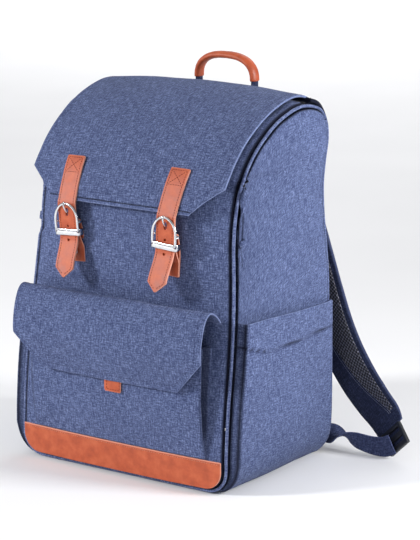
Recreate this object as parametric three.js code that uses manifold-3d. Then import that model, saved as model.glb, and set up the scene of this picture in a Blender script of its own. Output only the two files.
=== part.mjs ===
// A cooler backpack, in millimetres: X runs across the front, the front faces -Y and +Z is up.
// The origin is the middle of the base's underside.
import * as THREE from 'three';
import { mergeVertices } from 'three/addons/utils/BufferGeometryUtils.js';
import Module from 'manifold-3d';

const wasm = await Module();
wasm.setup();

// The bag's body.
const bodyWidth = 312;
const bodyDepth = 216;
const bodyHeight = 437;
const wallThickness = 6;
const cornerRadius = 30;
const frontCrown = 4;
const topCrown = 9;
const backCrown = 5;
const sideBulge = 5;
const seamGap = 0.3;
const pipingDiameter = 5;
const zipWidth = 14;
const zipThickness = 2;
const zipShare = 0.655;
const sideShoulderShare = 0.8;
const sideCrestShare = 0.955;
const pinchEdge = 10;
const pinchReach = 110;

// The lid flap that hangs over the top and the front.
const flapInset = 14.5;
const flapWidth = bodyWidth - 2 * flapInset;
const flapThickness = 3;
const flapChamferWidth = 40;
const flapChamferDrop = 32.5;
const flapHemShare = 0.739;
const flapHemHeight = flapHemShare * bodyHeight;
const flapLift = 12.5;
const flapSeamShare = 0.965;

// The leather panel along the front's lower edge.
const trimHeight = 41;
const trimInset = 1;
const leatherThickness = 2;

// The gusseted pocket on the front, its flap and its pull tab.
const pocketInset = 28;
const pocketWidth = bodyWidth - 2 * pocketInset;
const pocketTopShare = 0.3936;
const pocketTop = pocketTopShare * bodyHeight;
const pocketDepth = 17;
const clothThickness = 2.5;
const pocketFlapOverhang = 12;
const pocketFlapWidth = pocketWidth + 2 * pocketFlapOverhang;
const pocketFlapShare = 0.469;
const pocketFlapSeam = pocketFlapShare * bodyHeight;
const pocketFlapDrop = 83;
const pocketFlapReach = 42;
const pocketFlapShoulder = 40;
const pocketFlapChamferWidth = 40;
const tabWidth = 24;
const tabDrop = 19;
const tabPlace = 3;
const tabTuck = 9.5;

// The two leather straps that close the lid, with their buckles.
const strapSpacing = 155;
const strapWidth = 26;
const strapThickness = 2.6;
const strapTopShare = 0.8535;
const strapTop = strapTopShare * bodyHeight;
const strapTailDrop = 90;
const strapLean = 9;
const strapPoint = 11;
const strapKick = 18;
const buckleWire = 3.2;
const buckleHeight = 34;
const buckleSideGap = 2;
const buckleShoulder = 14.3;
const buckleDrop = 39;
const keeperHeight = 8;
const keeperThickness = 1.6;
const hingeWire = 2.4;
const hingePlace = 12;
const prongWire = 2.2;
const prongReach = 3;
const holeDiameter = 5;
const holeAboveHinge = 12;
const holeSpacing = 16.8;
const tabLeather = 1.8;
const buckleTabWidth = 25;
const buckleTabDrop = 37;
const leafShare = 0.62;
const snapShare = 0.68;
const snapDiameter = 6.6;
const snapThickness = 1.6;

// The open pockets on the two sides.
const sidePocketShare = 0.46;
const sidePocketTop = sidePocketShare * bodyHeight;
const sidePocketDepth = 13.5;
const sidePocketFoot = 35;
const sidePocketWrapDegrees = 55;
const footDepthShare = 0.2;

// The carrying handle at the top of the back.
const handleSpan = 84;
const handleRise = 29;
const handleLift = 11;
const handleFoot = bodyHeight + handleLift;
const handleOverhang = 5;
const handleBack = bodyDepth / 2 + handleOverhang;
const handleWidth = 16;
const handleThickness = 9;
const handleRoundShare = 0.8;
const stubWidth = 13;
const stubThickness = 6;
const stubDrop = 24;
const stubSeat = bodyHeight - stubDrop;
const stubBendShare = 0.6;

// The padded shoulder straps with their mesh lining, ladder locks and webbing.
const padWidth = 58;
const padThickness = 11;
const padEdgeShare = 0.45;
const meshThickness = 1.2;
const meshTopShare = 0.2;
const meshFootShare = 0.93;
const webbingWidth = 24;
const webbingThickness = 1.6;
const lockWidth = 34;
const lockHeight = 30;
const lockThickness = 5;
const slotWidth = 26;
const slotHeight = 6;
const slotRise = 8;
const slotSpacing = 12.3;

// The bag's outline from the side, from the foot of the front over the top to the foot of the back.
const sideOutline = [
  { depth: 0.000, height: 0.000 },
  { depth: 0.000, height: 0.100 },
  { depth: 0.018, height: 0.220 },
  { depth: 0.046, height: 0.340 },
  { depth: 0.068, height: 0.450 },
  { depth: 0.082, height: 0.570 },
  { depth: 0.093, height: 0.690 },
  { depth: 0.125, height: 0.775 },
  { depth: 0.180, height: 0.840 },
  { depth: 0.280, height: 0.900 },
  { depth: 0.420, height: 0.950 },
  { depth: 0.560, height: 0.982 },
  { depth: 0.720, height: 1.000 },
  { depth: 0.840, height: 0.995 },
  { depth: 0.938, height: 0.975 },
  { depth: 0.990, height: 0.938 },
  { depth: 1.000, height: 0.890 },
  { depth: 0.972, height: 0.830 },
  { depth: 0.952, height: 0.770 },
  { depth: 0.955, height: 0.700 },
  { depth: 0.975, height: 0.620 },
  { depth: 0.997, height: 0.520 },
  { depth: 1.000, height: 0.400 },
  { depth: 1.000, height: 0.250 },
  { depth: 0.992, height: 0.110 },
  { depth: 0.975, height: 0.045 },
  { depth: 0.950, height: 0.010 },
];

// How far the closed lid draws the front's two side edges in and back, in millimetres at shares of the height.
const cornerPinch = [
  { height: 0.00, aside: 0, back: 0 },
  { height: 0.20, aside: 0, back: 1 },
  { height: 0.34, aside: 0.5, back: 3 },
  { height: 0.52, aside: 4.5, back: 8.5 },
  { height: 0.63, aside: 8, back: 12 },
  { height: 0.70, aside: 10, back: 14.5 },
  { height: 0.75, aside: 10, back: 14.5 },
  { height: 0.82, aside: 6.5, back: 10.5 },
  { height: 0.90, aside: 2.5, back: 4 },
  { height: 0.97, aside: 0, back: 0 },
];

// How far the lid flap stands off the body from its back seam to its hem: shares of its run and of flapLift.
const flapStand = [
  { run: 0.00, lift: 0.02 },
  { run: 0.08, lift: 0.16 },
  { run: 0.20, lift: 0.36 },
  { run: 0.38, lift: 0.26 },
  { run: 0.62, lift: 0.22 },
  { run: 0.80, lift: 0.34 },
  { run: 0.92, lift: 0.72 },
  { run: 1.00, lift: 1.00 },
];

// The pocket's depth off the body at shares of its height.
const pocketSections = [
  { rise: 0.00, depth: 0.13 },
  { rise: 0.10, depth: 0.34 },
  { rise: 0.28, depth: 0.60 },
  { rise: 0.52, depth: 0.86 },
  { rise: 0.78, depth: 1.00 },
  { rise: 1.00, depth: 1.00 },
];

// The pocket flap from its seam over the fold to its hem: shares of its drop and of its reach.
const pocketFlapSections = [
  { drop: 0.00, reach: 0.014 },
  { drop: -0.09, reach: 0.17 },
  { drop: -0.16, reach: 0.38 },
  { drop: -0.165, reach: 0.56 },
  { drop: -0.10, reach: 0.72 },
  { drop: 0.05, reach: 0.86 },
  { drop: 0.27, reach: 0.97 },
  { drop: 0.50, reach: 1.00 },
  { drop: 0.76, reach: 0.90 },
  { drop: 1.00, reach: 0.76 },
];

// The free end of a closing strap below the lid's hem: shares of its drop, and of how far it kicks out.
const strapTail = [
  { drop: 0.05, out: 0.08 },
  { drop: 0.22, out: 0.08 },
  { drop: 0.51, out: 0.08 },
  { drop: 0.58, out: 0.17 },
  { drop: 0.67, out: 0.36 },
  { drop: 0.79, out: 0.64 },
  { drop: 0.88, out: 0.80 },
  { drop: 1.00, out: 1.00 },
];

// How far a side pocket stands off the side wall, from its front to its back.
const sidePocketSections = [
  { along: 0.00, out: 1.00 },
  { along: 0.15, out: 0.98 },
  { along: 0.50, out: 0.78 },
  { along: 0.85, out: 0.50 },
  { along: 1.00, out: 0.40 },
];

// The padded shoulder strap's middle line: shares of half the body's width, of its depth and of its height,
// with the share of the pad's width and thickness, and how far its lining faces down, in degrees.
const shoulderRoute = [
  { across: 0.359, back: 0.490, height: 0.915, width: 0.80, thick: 0.55, down: 90 },
  { across: 0.360, back: 0.572, height: 0.915, width: 0.90, thick: 0.80, down: 82 },
  { across: 0.397, back: 0.612, height: 0.874, width: 1.00, thick: 1.00, down: 42 },
  { across: 0.462, back: 0.632, height: 0.789, width: 1.00, thick: 1.00, down: 8 },
  { across: 0.531, back: 0.652, height: 0.698, width: 1.00, thick: 1.00, down: 2 },
  { across: 0.597, back: 0.676, height: 0.604, width: 1.00, thick: 1.00, down: 0 },
  { across: 0.662, back: 0.698, height: 0.510, width: 1.00, thick: 1.00, down: 0 },
  { across: 0.730, back: 0.713, height: 0.420, width: 1.00, thick: 1.00, down: 0 },
  { across: 0.825, back: 0.713, height: 0.332, width: 0.98, thick: 1.00, down: 0 },
  { across: 0.949, back: 0.702, height: 0.256, width: 0.95, thick: 1.00, down: 0 },
  { across: 1.090, back: 0.690, height: 0.191, width: 0.92, thick: 1.00, down: 0 },
  { across: 1.231, back: 0.671, height: 0.144, width: 0.88, thick: 0.95, down: 0 },
  { across: 1.370, back: 0.643, height: 0.107, width: 0.82, thick: 0.85, down: 0 },
  { across: 1.440, back: 0.620, height: 0.081, width: 0.74, thick: 0.60, down: 0 },
];

// The mesh lining's two edges across the pad, from its top to its foot.
const meshSections = [
  { run: 0.00, inner: 0.08, outer: 0.92 },
  { run: 0.40, inner: 0.08, outer: 0.92 },
  { run: 0.60, inner: 0.36, outer: 0.92 },
  { run: 0.85, inner: 0.62, outer: 0.92 },
  { run: 1.00, inner: 0.80, outer: 0.92 },
];

// The webbing from the foot of the back to the ladder lock, with the turn of its width in degrees.
const webbingRoute = [
  { across: 0.890, back: 0.000, height: 0.054, turn: 90 },
  { across: 0.960, back: 0.010, height: 0.052, turn: 80 },
  { across: 1.015, back: 0.016, height: 0.052, turn: 48 },
  { across: 1.070, back: 0.021, height: 0.051, turn: 2 },
  { across: 1.130, back: 0.026, height: 0.048, turn: -44 },
  { across: 1.210, back: 0.033, height: 0.042, turn: -70 },
  { across: 1.350, back: 0.046, height: 0.034, turn: -82 },
  { across: 1.450, back: 0.053, height: 0.036, turn: -90 },
  { across: 1.510, back: 0.058, height: 0.046, turn: -90 },
];

const denim = () => new THREE.MeshStandardMaterial({ color: 0x65719c, roughness: 0.95, metalness: 0 });
const leather = () => new THREE.MeshStandardMaterial({ color: 0xb75f3c, roughness: 0.55, metalness: 0 });
const metal = () => new THREE.MeshStandardMaterial({ color: 0xb8bac0, roughness: 0.25, metalness: 1 });
const navy = () => new THREE.MeshStandardMaterial({ color: 0x363d57, roughness: 0.85, metalness: 0 });
const mesh = () => new THREE.MeshStandardMaterial({ color: 0x26262c, roughness: 0.9, metalness: 0 });
const plastic = () => new THREE.MeshStandardMaterial({ color: 0x121317, roughness: 0.4, metalness: 0 });

const point = (x, y, z) => new THREE.Vector3(x, y, z);
const mix = (a, b, share) => a + (b - a) * share;

// A value read from a table's two columns, with straight runs between the rows.
function readTable(rows, key, column, at) {
  const last = rows.length - 1;
  let i = 1;
  while (i < last && rows[i][key] < at) i += 1;
  const span = rows[i][key] - rows[i - 1][key];
  const share = THREE.MathUtils.clamp((at - rows[i - 1][key]) / span, 0, 1);
  return mix(rows[i - 1][column], rows[i][column], share);
}

// One closed surface with shared corners, its faces turned outwards.
function welded(geometry) {
  const plain = geometry.clone();
  plain.deleteAttribute('normal');
  plain.deleteAttribute('uv');
  const whole = mergeVertices(plain, 1e-4);
  const place = whole.attributes.position;
  const corners = whole.index.array;
  const a = new THREE.Vector3();
  const b = new THREE.Vector3();
  const c = new THREE.Vector3();
  let volume = 0;
  for (let i = 0; i < corners.length; i += 3) {
    a.fromBufferAttribute(place, corners[i]);
    b.fromBufferAttribute(place, corners[i + 1]);
    c.fromBufferAttribute(place, corners[i + 2]);
    volume += a.dot(b.cross(c));
  }
  if (volume < 0) {
    for (let i = 0; i < corners.length; i += 3) {
      const first = corners[i];
      corners[i] = corners[i + 1];
      corners[i + 1] = first;
    }
  }
  return whole;
}

// A block split into a grid and carried point by point onto its real shape: u across, v along, w through.
function shaped(across, along, place) {
  const block = new THREE.BoxGeometry(1, 1, 1, across, along, 1);
  const corners = block.attributes.position;
  for (let i = 0; i < corners.count; i += 1) {
    const spot = place(corners.getX(i) + 0.5, corners.getY(i) + 0.5, corners.getZ(i) + 0.5);
    corners.setXYZ(i, spot.x, spot.y, spot.z);
  }
  return welded(block);
}

// A rod through a row of points: its section is an ellipse, given by its half sizes, with a face to one side.
function rod(points, halfWide, halfHigh, sides, face) {
  const last = points.length - 1;
  const rings = points.map((spot, i) => {
    const along = points[Math.min(i + 1, last)].clone().sub(points[Math.max(i - 1, 0)]).normalize();
    const high = face.clone().addScaledVector(along, -face.dot(along)).normalize();
    return { spot, high, wide: high.clone().cross(along) };
  });
  for (let i = 1; i <= last; i += 1) {
    const ring = rings[i];
    if (halfWide !== halfHigh) continue;
    const before = rings[i - 1];
    const along = ring.wide.clone().cross(ring.high);
    ring.high = before.high.clone().addScaledVector(along, -before.high.dot(along)).normalize();
    ring.wide = ring.high.clone().cross(along);
  }
  const tube = new THREE.CylinderGeometry(1, 1, 1, sides, last);
  const corners = tube.attributes.position;
  for (let i = 0; i < corners.count; i += 1) {
    const ring = rings[Math.round((corners.getY(i) + 0.5) * last)];
    const spot = ring.spot.clone()
      .addScaledVector(ring.wide, corners.getX(i) * halfWide)
      .addScaledVector(ring.high, corners.getZ(i) * halfHigh);
    corners.setXYZ(i, spot.x, spot.y, spot.z);
  }
  return welded(tube);
}

const wireFace = point(0.1, 0.2, 1);
const wire = (points, diameter, sides = 6) => rod(points, diameter / 2, diameter / 2, sides, wireFace);

const bar = (wide, deep, high, x, y, z) => welded(new THREE.BoxGeometry(wide, deep, high).translate(x, y, z));

function toSolid(geometry) {
  const vertProperties = new Float32Array(geometry.attributes.position.array);
  const triVerts = new Uint32Array(geometry.index.array);
  return new wasm.Manifold(new wasm.Mesh({ numProp: 3, vertProperties, triVerts }));
}

function toGeometry(solid) {
  const shape = solid.getMesh();
  const geometry = new THREE.BufferGeometry();
  geometry.setAttribute('position', new THREE.Float32BufferAttribute(shape.vertProperties, 3));
  geometry.setIndex(new THREE.Uint32BufferAttribute(shape.triVerts, 1));
  return geometry;
}

const joined = (...parts) => toGeometry(parts.map(toSolid).reduce((all, part) => all.add(part)));

function cut(part, ...tools) {
  return toGeometry(tools.map(toSolid).reduce((all, tool) => all.subtract(tool), toSolid(part)));
}

const bag = new THREE.Group();

function add(name, geometry, material) {
  geometry.computeVertexNormals();
  const piece = new THREE.Mesh(geometry, material);
  piece.name = name;
  bag.add(piece);
}

function addPair(name, build, material) {
  for (const [side, sign] of [['right', 1], ['left', -1]]) {
    add(`${name}_${side}`, welded(build().scale(sign, 1, 1)), material());
  }
}

// The body's outline as a curve, with its outward direction.
const outline = new THREE.CatmullRomCurve3(
  sideOutline.map((row) => point(0, (row.depth - 0.5) * bodyDepth, row.height * bodyHeight)),
  false,
  'centripetal',
);
const topShare = 12 / (sideOutline.length - 1);

function outward(share) {
  const along = outline.getTangent(THREE.MathUtils.clamp(share, 0, 1));
  return point(0, -along.z, along.y);
}

// The share of the outline at a height, on the front or on the back.
function shareAtHeight(height, onBack = false) {
  let low = onBack ? 1 : 0;
  let high = topShare;
  for (let i = 0; i < 40; i += 1) {
    const middle = (low + high) / 2;
    if (outline.getPoint(middle).z < height) low = middle;
    else high = middle;
  }
  return (low + high) / 2;
}

// A point on the body's skin, x across and so far out of it along its outward direction.
function onBody(share, x, out) {
  const away = outward(share);
  const swell = away.z > 0 ? mix(frontCrown, topCrown, away.z) : frontCrown;
  const crown = away.y > 0 ? mix(swell, backCrown, away.y) : swell;
  const across = x / (bodyWidth / 2);
  const spot = outline.getPoint(share).addScaledVector(away, crown * (1 - across * across) + out);
  spot.x = x;
  return spot;
}

const frontAt = (height, x, out) => onBody(shareAtHeight(height), x, out);

// How far the body's side edge is drawn in and back at a share of the outline.
function pinchAt(share) {
  if (share > topShare) return { aside: 0, back: 0 };
  const height = outline.getPoint(share).z / bodyHeight;
  return {
    aside: readTable(cornerPinch, 'height', 'aside', height),
    back: readTable(cornerPinch, 'height', 'back', height),
  };
}

// Half the body's width at a height, so far inside its rounded lower corners.
function halfWidthAt(height, inset) {
  const half = bodyWidth / 2 - inset;
  if (height >= cornerRadius) return half;
  const reach = Math.max(cornerRadius - inset, 0);
  const fall = Math.min(cornerRadius - height, reach);
  return bodyWidth / 2 - cornerRadius + Math.sqrt(reach * reach - fall * fall);
}

// The shares of the outline from the lower corner's rounding up to a given share.
function stations(foot, end, steps, onBack) {
  const rounding = 5;
  const list = [];
  for (let i = 0; i < rounding; i += 1) {
    const height = cornerRadius - (cornerRadius - foot) * Math.cos((Math.PI / 2) * (i / rounding));
    list.push(shareAtHeight(height, onBack));
  }
  const start = shareAtHeight(cornerRadius, onBack);
  for (let i = 0; i <= steps; i += 1) list.push(mix(start, end, i / steps));
  return list;
}

const seam = wallThickness + seamGap;
const topAt = (y) => {
  let low = 0.25;
  let high = 0.75;
  for (let i = 0; i < 40; i += 1) {
    const middle = (low + high) / 2;
    if (outline.getPoint(middle).y < y) low = middle;
    else high = middle;
  }
  return (low + high) / 2;
};
const zipMiddle = (zipShare - 0.5) * 2 * bodyDepth;
const zipFront = topAt(zipMiddle - zipWidth / 2);
const zipBack = topAt(zipMiddle + zipWidth / 2);

// A wall of the body: a strip that follows the outline through the given shares.
function bodyStrip(list, across) {
  const steps = list.length - 1;
  return shaped(across, steps, (u, v, w) => {
    const share = list[Math.round(v * steps)];
    const pinch = pinchAt(share);
    const half = halfWidthAt(outline.getPoint(share).z, seam) - pinch.aside;
    const x = mix(-half, half, u);
    const nearEdge = Math.min(Math.abs(x) / (bodyWidth / 2 - pinch.aside - pinchEdge), 1);
    return onBody(share, x, -pinch.back * nearEdge ** 6 - wallThickness * (1 - w));
  });
}

const frontShares = stations(seam, zipFront, 17, false);
const backShares = stations(seam, zipBack, 14, true);

add('front_panel', bodyStrip(frontShares, 10), denim());
add('back_panel', bodyStrip(backShares, 10), denim());

// The black zip between the top and the back.
add('main_zip', shaped(10, 2, (u, v, w) => {
  const half = bodyWidth / 2 - seam;
  const inShare = seamGap / zipWidth;
  const share = mix(zipFront, zipBack, mix(inShare, 1 - inShare, v));
  return onBody(share, mix(-half, half, u), -zipThickness * (2 - w));
}), plastic());

// The base is flat, and ends where the side walls begin to round up.
const baseHalf = bodyWidth / 2 - cornerRadius - seamGap;
const baseFront = outline.getPoint(shareAtHeight(0)).y + seam;
const baseBack = outline.getPoint(shareAtHeight(seam, true)).y - seam;
add('base_panel', bar(
  baseHalf * 2,
  baseBack - baseFront,
  wallThickness,
  0,
  (baseBack + baseFront) / 2,
  wallThickness / 2,
), denim());

// A side wall: a patch stretched between its four edges, bent under at its foot.
const cornerRun = (cornerRadius * Math.PI) / 2;

// Turns a run up the side wall, from the base's edge, into its place, so far out of the wall.
function onSide(y, run, out) {
  const middle = bodyWidth / 2 - cornerRadius;
  if (run >= cornerRun) return point(bodyWidth / 2 + out, y, run - cornerRun + cornerRadius);
  const angle = (cornerRun - run) / cornerRadius;
  const reach = cornerRadius + out;
  return point(middle + reach * Math.cos(angle), y, cornerRadius - reach * Math.sin(angle));
}

function edgePoint(share) {
  const spot = outline.getPoint(share).addScaledVector(outward(share), -seam - pinchAt(share).back);
  return { y: spot.y, run: spot.z - cornerRadius + cornerRun };
}

// The wall's front or back edge, where it rounds under at the corner.
function cornerEdge(run, onBack) {
  const height = cornerRadius * (1 - Math.sin((cornerRun - run) / cornerRadius));
  return { y: edgePoint(shareAtHeight(height, onBack)).y, run };
}

const cornerShareFront = shareAtHeight(cornerRadius);
const cornerShareBack = shareAtHeight(cornerRadius, true);
const shoulderShare = shareAtHeight(bodyHeight * sideShoulderShare);
const crestShare = shareAtHeight(bodyHeight * sideCrestShare, true);
const cornerRows = 5;
const wallRows = 11;
const sideRows = cornerRows + wallRows;
const footShare = cornerRows / sideRows;

function sideEdge(v, onBack) {
  const corner = onBack ? cornerShareBack : cornerShareFront;
  const top = onBack ? crestShare : shoulderShare;
  if (v < footShare) return cornerEdge((cornerRun * v) / footShare, onBack);
  return edgePoint(mix(corner, top, (v - footShare) / (1 - footShare)));
}

const frontEdge = (v) => sideEdge(v, false);
const backEdge = (v) => sideEdge(v, true);
const topEdge = (u) => edgePoint(mix(shoulderShare, crestShare, u));

// Where the wall's front or back edge lies at a run up it.
function sideEdgeAt(run, onBack) {
  if (run < cornerRun) return cornerEdge(run, onBack).y;
  const share = shareAtHeight(run - cornerRun + cornerRadius, onBack);
  return edgePoint(share).y;
}

function patch(u, v) {
  const front = frontEdge(v);
  const back = backEdge(v);
  const top = topEdge(u);
  const blend = (key) => {
    const sides = mix(front[key], back[key], u);
    if (v < footShare) return sides;
    const climb = (v - footShare) / (1 - footShare);
    const ends = mix(mix(frontEdge(footShare)[key], backEdge(footShare)[key], u), top[key], climb);
    const lower = mix(frontEdge(footShare)[key], backEdge(footShare)[key], u);
    const upper = mix(topEdge(0)[key], topEdge(1)[key], u);
    return sides + ends - mix(lower, upper, climb);
  };
  return { y: blend('y'), run: blend('run') };
}

// How far the side wall swells out at a place on it: two crossed arches, each of height one quarter, and the
// pinch of its front edge, which fades towards the back.
function bulgeAt(y, run) {
  const height = run - cornerRun + cornerRadius;
  if (height <= cornerRadius) return 0;
  const frontShare = shareAtHeight(height);
  const pinch = pinchAt(frontShare);
  const front = outline.getPoint(frontShare).y;
  const back = outline.getPoint(shareAtHeight(height, true)).y;
  const along = THREE.MathUtils.clamp((y - front) / (back - front), 0, 1);
  const rise = THREE.MathUtils.clamp((height - cornerRadius) / (bodyHeight - cornerRadius), 0, 1);
  const fade = THREE.MathUtils.clamp(1 - (y - front - pinch.back - pinchEdge) / pinchReach, 0, 1);
  return sideBulge * (4 * along * (1 - along)) * (4 * rise * (1 - rise)) - pinch.aside * fade * fade;
}

addPair('side_panel', () => shaped(10, sideRows, (u, v, w) => {
  const spot = patch(u, v);
  return onSide(spot.y, Math.max(spot.run, seamGap), bulgeAt(spot.y, spot.run) - wallThickness * (1 - w));
}), denim);

// The piping: one cord up the back, over the top, down the front, across its foot and back again.
const pipingInset = wallThickness / 2;
function pipingRoute() {
  const side = [];
  const start = shareAtHeight(cornerRadius, true);
  const end = cornerShareFront;
  const steps = 34;
  for (let i = 0; i <= steps; i += 1) {
    const share = mix(start, end, i / steps);
    const pinch = pinchAt(share);
    const spot = outline.getPoint(share).addScaledVector(outward(share), -pipingInset - pinch.back);
    spot.x = bodyWidth / 2 - pipingInset - pinch.aside;
    side.push(spot);
  }
  const reach = cornerRadius - pipingInset;
  const rounding = 5;
  for (let i = 1; i <= rounding; i += 1) {
    const angle = (Math.PI / 2) * (i / rounding);
    const height = cornerRadius - reach * Math.sin(angle);
    const share = shareAtHeight(height);
    const spot = outline.getPoint(share).addScaledVector(outward(share), -pipingInset);
    side.push(point(bodyWidth / 2 - cornerRadius + reach * Math.cos(angle), spot.y, height));
  }
  const mirrored = side.map((spot) => point(-spot.x, spot.y, spot.z)).reverse();
  return [...side, point(0, side[side.length - 1].y, side[side.length - 1].z), ...mirrored];
}
add('piping', wire(pipingRoute(), pipingDiameter), denim());

// The lid flap, from the seam on the back over the top to its hem with two cut corners.
const flapStart = shareAtHeight(bodyHeight * flapSeamShare, true);
const flapEnd = shareAtHeight(flapHemHeight);

function flapShare(run) {
  return mix(flapStart, flapEnd, run);
}

function onFlap(run, x, out) {
  const stand = seamGap + readTable(flapStand, 'run', 'lift', run) * flapLift;
  return onBody(flapShare(run), x, stand + out);
}

function flapRunAt(height) {
  let low = 0.4;
  let high = 1;
  for (let i = 0; i < 40; i += 1) {
    const middle = (low + high) / 2;
    if (onFlap(middle, 0, 0).z > height) low = middle;
    else high = middle;
  }
  return (low + high) / 2;
}

const flapChamferRun = flapRunAt(onFlap(1, 0, 0).z + flapChamferDrop);
const flapHalf = (run) => {
  const cutShare = Math.max((run - flapChamferRun) / (1 - flapChamferRun), 0);
  return flapWidth / 2 - flapChamferWidth * cutShare;
};
const flapRuns = [];
for (let i = 0; i <= 13; i += 1) flapRuns.push(mix(0, flapChamferRun, i / 13));
for (let i = 1; i <= 3; i += 1) flapRuns.push(mix(flapChamferRun, 1, i / 3));

add('lid_flap', shaped(10, flapRuns.length - 1, (u, v, w) => {
  const run = flapRuns[Math.round(v * (flapRuns.length - 1))];
  const half = flapHalf(run);
  return onFlap(run, mix(-half, half, u), flapThickness * w);
}), denim());

// The leather trim, laid on the front inside the piping: most of its rows lie in its rounded lower corners.
const trimFoot = seam + trimInset;
const trimRows = 6;
const trimCorner = 4 / trimRows;

function trimHeightAt(v) {
  if (v < trimCorner) return mix(trimFoot, cornerRadius, (v / trimCorner) ** 2);
  return mix(cornerRadius, trimHeight, (v - trimCorner) / (1 - trimCorner));
}

add('base_trim', shaped(10, trimRows, (u, v, w) => {
  const height = trimHeightAt(v);
  const half = halfWidthAt(height, trimFoot);
  return frontAt(height, mix(-half, half, u), seamGap + leatherThickness * w);
}), leather());

// The front pocket: a wall round three sides, open at the top, sewn down along the leather.
const pocketFoot = trimHeight + leatherThickness;

function pocketOut(height) {
  const rise = (height - pocketFoot) / (pocketTop - pocketFoot);
  return Math.max(readTable(pocketSections, 'rise', 'depth', rise) * pocketDepth, clothThickness);
}

const pocketColumns = 14;
const pocketGusset = 2 / pocketColumns;

add('front_pocket', shaped(pocketColumns, 7, (u, v, w) => {
  const height = mix(pocketFoot, pocketTop, v);
  const inset = clothThickness * (1 - w);
  const out = seamGap + Math.max(pocketOut(height) - inset, 0);
  const half = pocketWidth / 2 - inset;
  if (u < pocketGusset) return frontAt(height, -half, mix(seamGap, out, u / pocketGusset));
  if (u > 1 - pocketGusset) return frontAt(height, half, mix(seamGap, out, (1 - u) / pocketGusset));
  return frontAt(height, mix(-half, half, (u - pocketGusset) / (1 - 2 * pocketGusset)), out);
}), denim());

// The pocket flap, with a full fold at its top and two cut corners.
function onPocketFlap(run, x, out) {
  const spot = (at) => {
    const last = pocketFlapSections.length - 1;
    const place = THREE.MathUtils.clamp(at, 0, 1) * last;
    const i = Math.min(Math.floor(place), last - 1);
    const drop = mix(pocketFlapSections[i].drop, pocketFlapSections[i + 1].drop, place - i);
    const reach = mix(pocketFlapSections[i].reach, pocketFlapSections[i + 1].reach, place - i);
    const wall = frontAt(pocketFlapSeam, x, 0);
    return point(x, wall.y - reach * pocketFlapReach, pocketFlapSeam - drop * pocketFlapDrop);
  };
  const here = spot(run);
  const nearby = 0.04;
  const along = spot(run + nearby).sub(spot(run - nearby));
  const away = point(0, along.z, -along.y).normalize();
  return here.addScaledVector(away, out);
}

const pocketFlapRows = pocketFlapSections.length - 1;
add('pocket_flap', shaped(10, pocketFlapRows, (u, v, w) => {
  const { drop } = pocketFlapSections[Math.round(v * pocketFlapRows)];
  const shoulder = 1 - pocketFlapShoulder / pocketFlapDrop;
  const cutShare = Math.max((drop - shoulder) / (1 - shoulder), 0);
  const half = pocketFlapWidth / 2 - pocketFlapChamferWidth * cutShare;
  return onPocketFlap(v, mix(-half, half, u), -clothThickness * (1 - w));
}), denim());

// The leather pull tab: it hangs from under the flap's hem and lies on the pocket.
const pocketHem = pocketFlapSeam - pocketFlapDrop;
add('pull_tab', shaped(2, 3, (u, v, w) => {
  const height = mix(pocketHem - tabDrop, pocketHem + tabTuck, v);
  const x = tabPlace + mix(-tabWidth / 2, tabWidth / 2, u);
  return frontAt(height, x, pocketOut(height) + 2 * seamGap + leatherThickness * w);
}), leather());

// A closing strap: sewn to the lid above, free below its hem, with a pointed end.
const lidOuter = flapThickness + seamGap;
const hemPoint = onFlap(1, (strapSpacing - strapWidth) / 2, lidOuter);
const strapFoot = hemPoint.z - strapTailDrop;
const strapX = (z) => strapSpacing / 2 - (strapLean * (strapTop - z)) / (strapTop - strapFoot);
const sewnSteps = 5;

function strapRow(index, out, aside) {
  if (index <= sewnSteps) {
    const run = mix(flapRunAt(strapTop), 1, index / sewnSteps);
    const spot = onFlap(run, strapSpacing / 2 + aside, lidOuter + out);
    return point(strapX(spot.z) + aside, spot.y, spot.z);
  }
  const row = strapTail[index - sewnSteps - 1];
  const z = hemPoint.z - row.drop * strapTailDrop;
  return point(strapX(z) + aside, hemPoint.y - row.out * strapKick - out, z);
}

const strapRows = sewnSteps + strapTail.length;
function strapBlank() {
  return shaped(2, strapRows, (u, v, w) => {
    const index = Math.round(v * strapRows);
    const aside = (u - 0.5) * strapWidth;
    const spot = strapRow(index, strapThickness * w, aside);
    if (index < strapRows) return spot;
    const before = strapRow(strapRows - 1, strapThickness * w, aside);
    const lift = strapPoint * Math.abs(2 * u - 1);
    return spot.lerp(before, Math.min(lift / (before.z - spot.z), 0.98));
  });
}

// The buckle's own frame: the middle of its keeper on the strap's outer face, with y into the bag.
const keeperHigh = hemPoint.z - buckleDrop;
const keeperOut = strapTail[1].out * strapKick + strapThickness;
const keeperAt = point(strapX(keeperHigh), hemPoint.y - keeperOut, keeperHigh);
const strapTilt = Math.atan2(strapLean, strapTop - strapFoot);
const atBuckle = new THREE.Matrix4()
  .makeRotationY(strapTilt)
  .setPosition(keeperAt.x, keeperAt.y, keeperAt.z);
const hingeBack = strapThickness + prongWire + hingeWire / 2 + 2 * seamGap;
const rimHalf = strapWidth / 2 + buckleSideGap + buckleWire / 2;
const rimFront = -(seamGap + buckleWire / 2);

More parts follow.
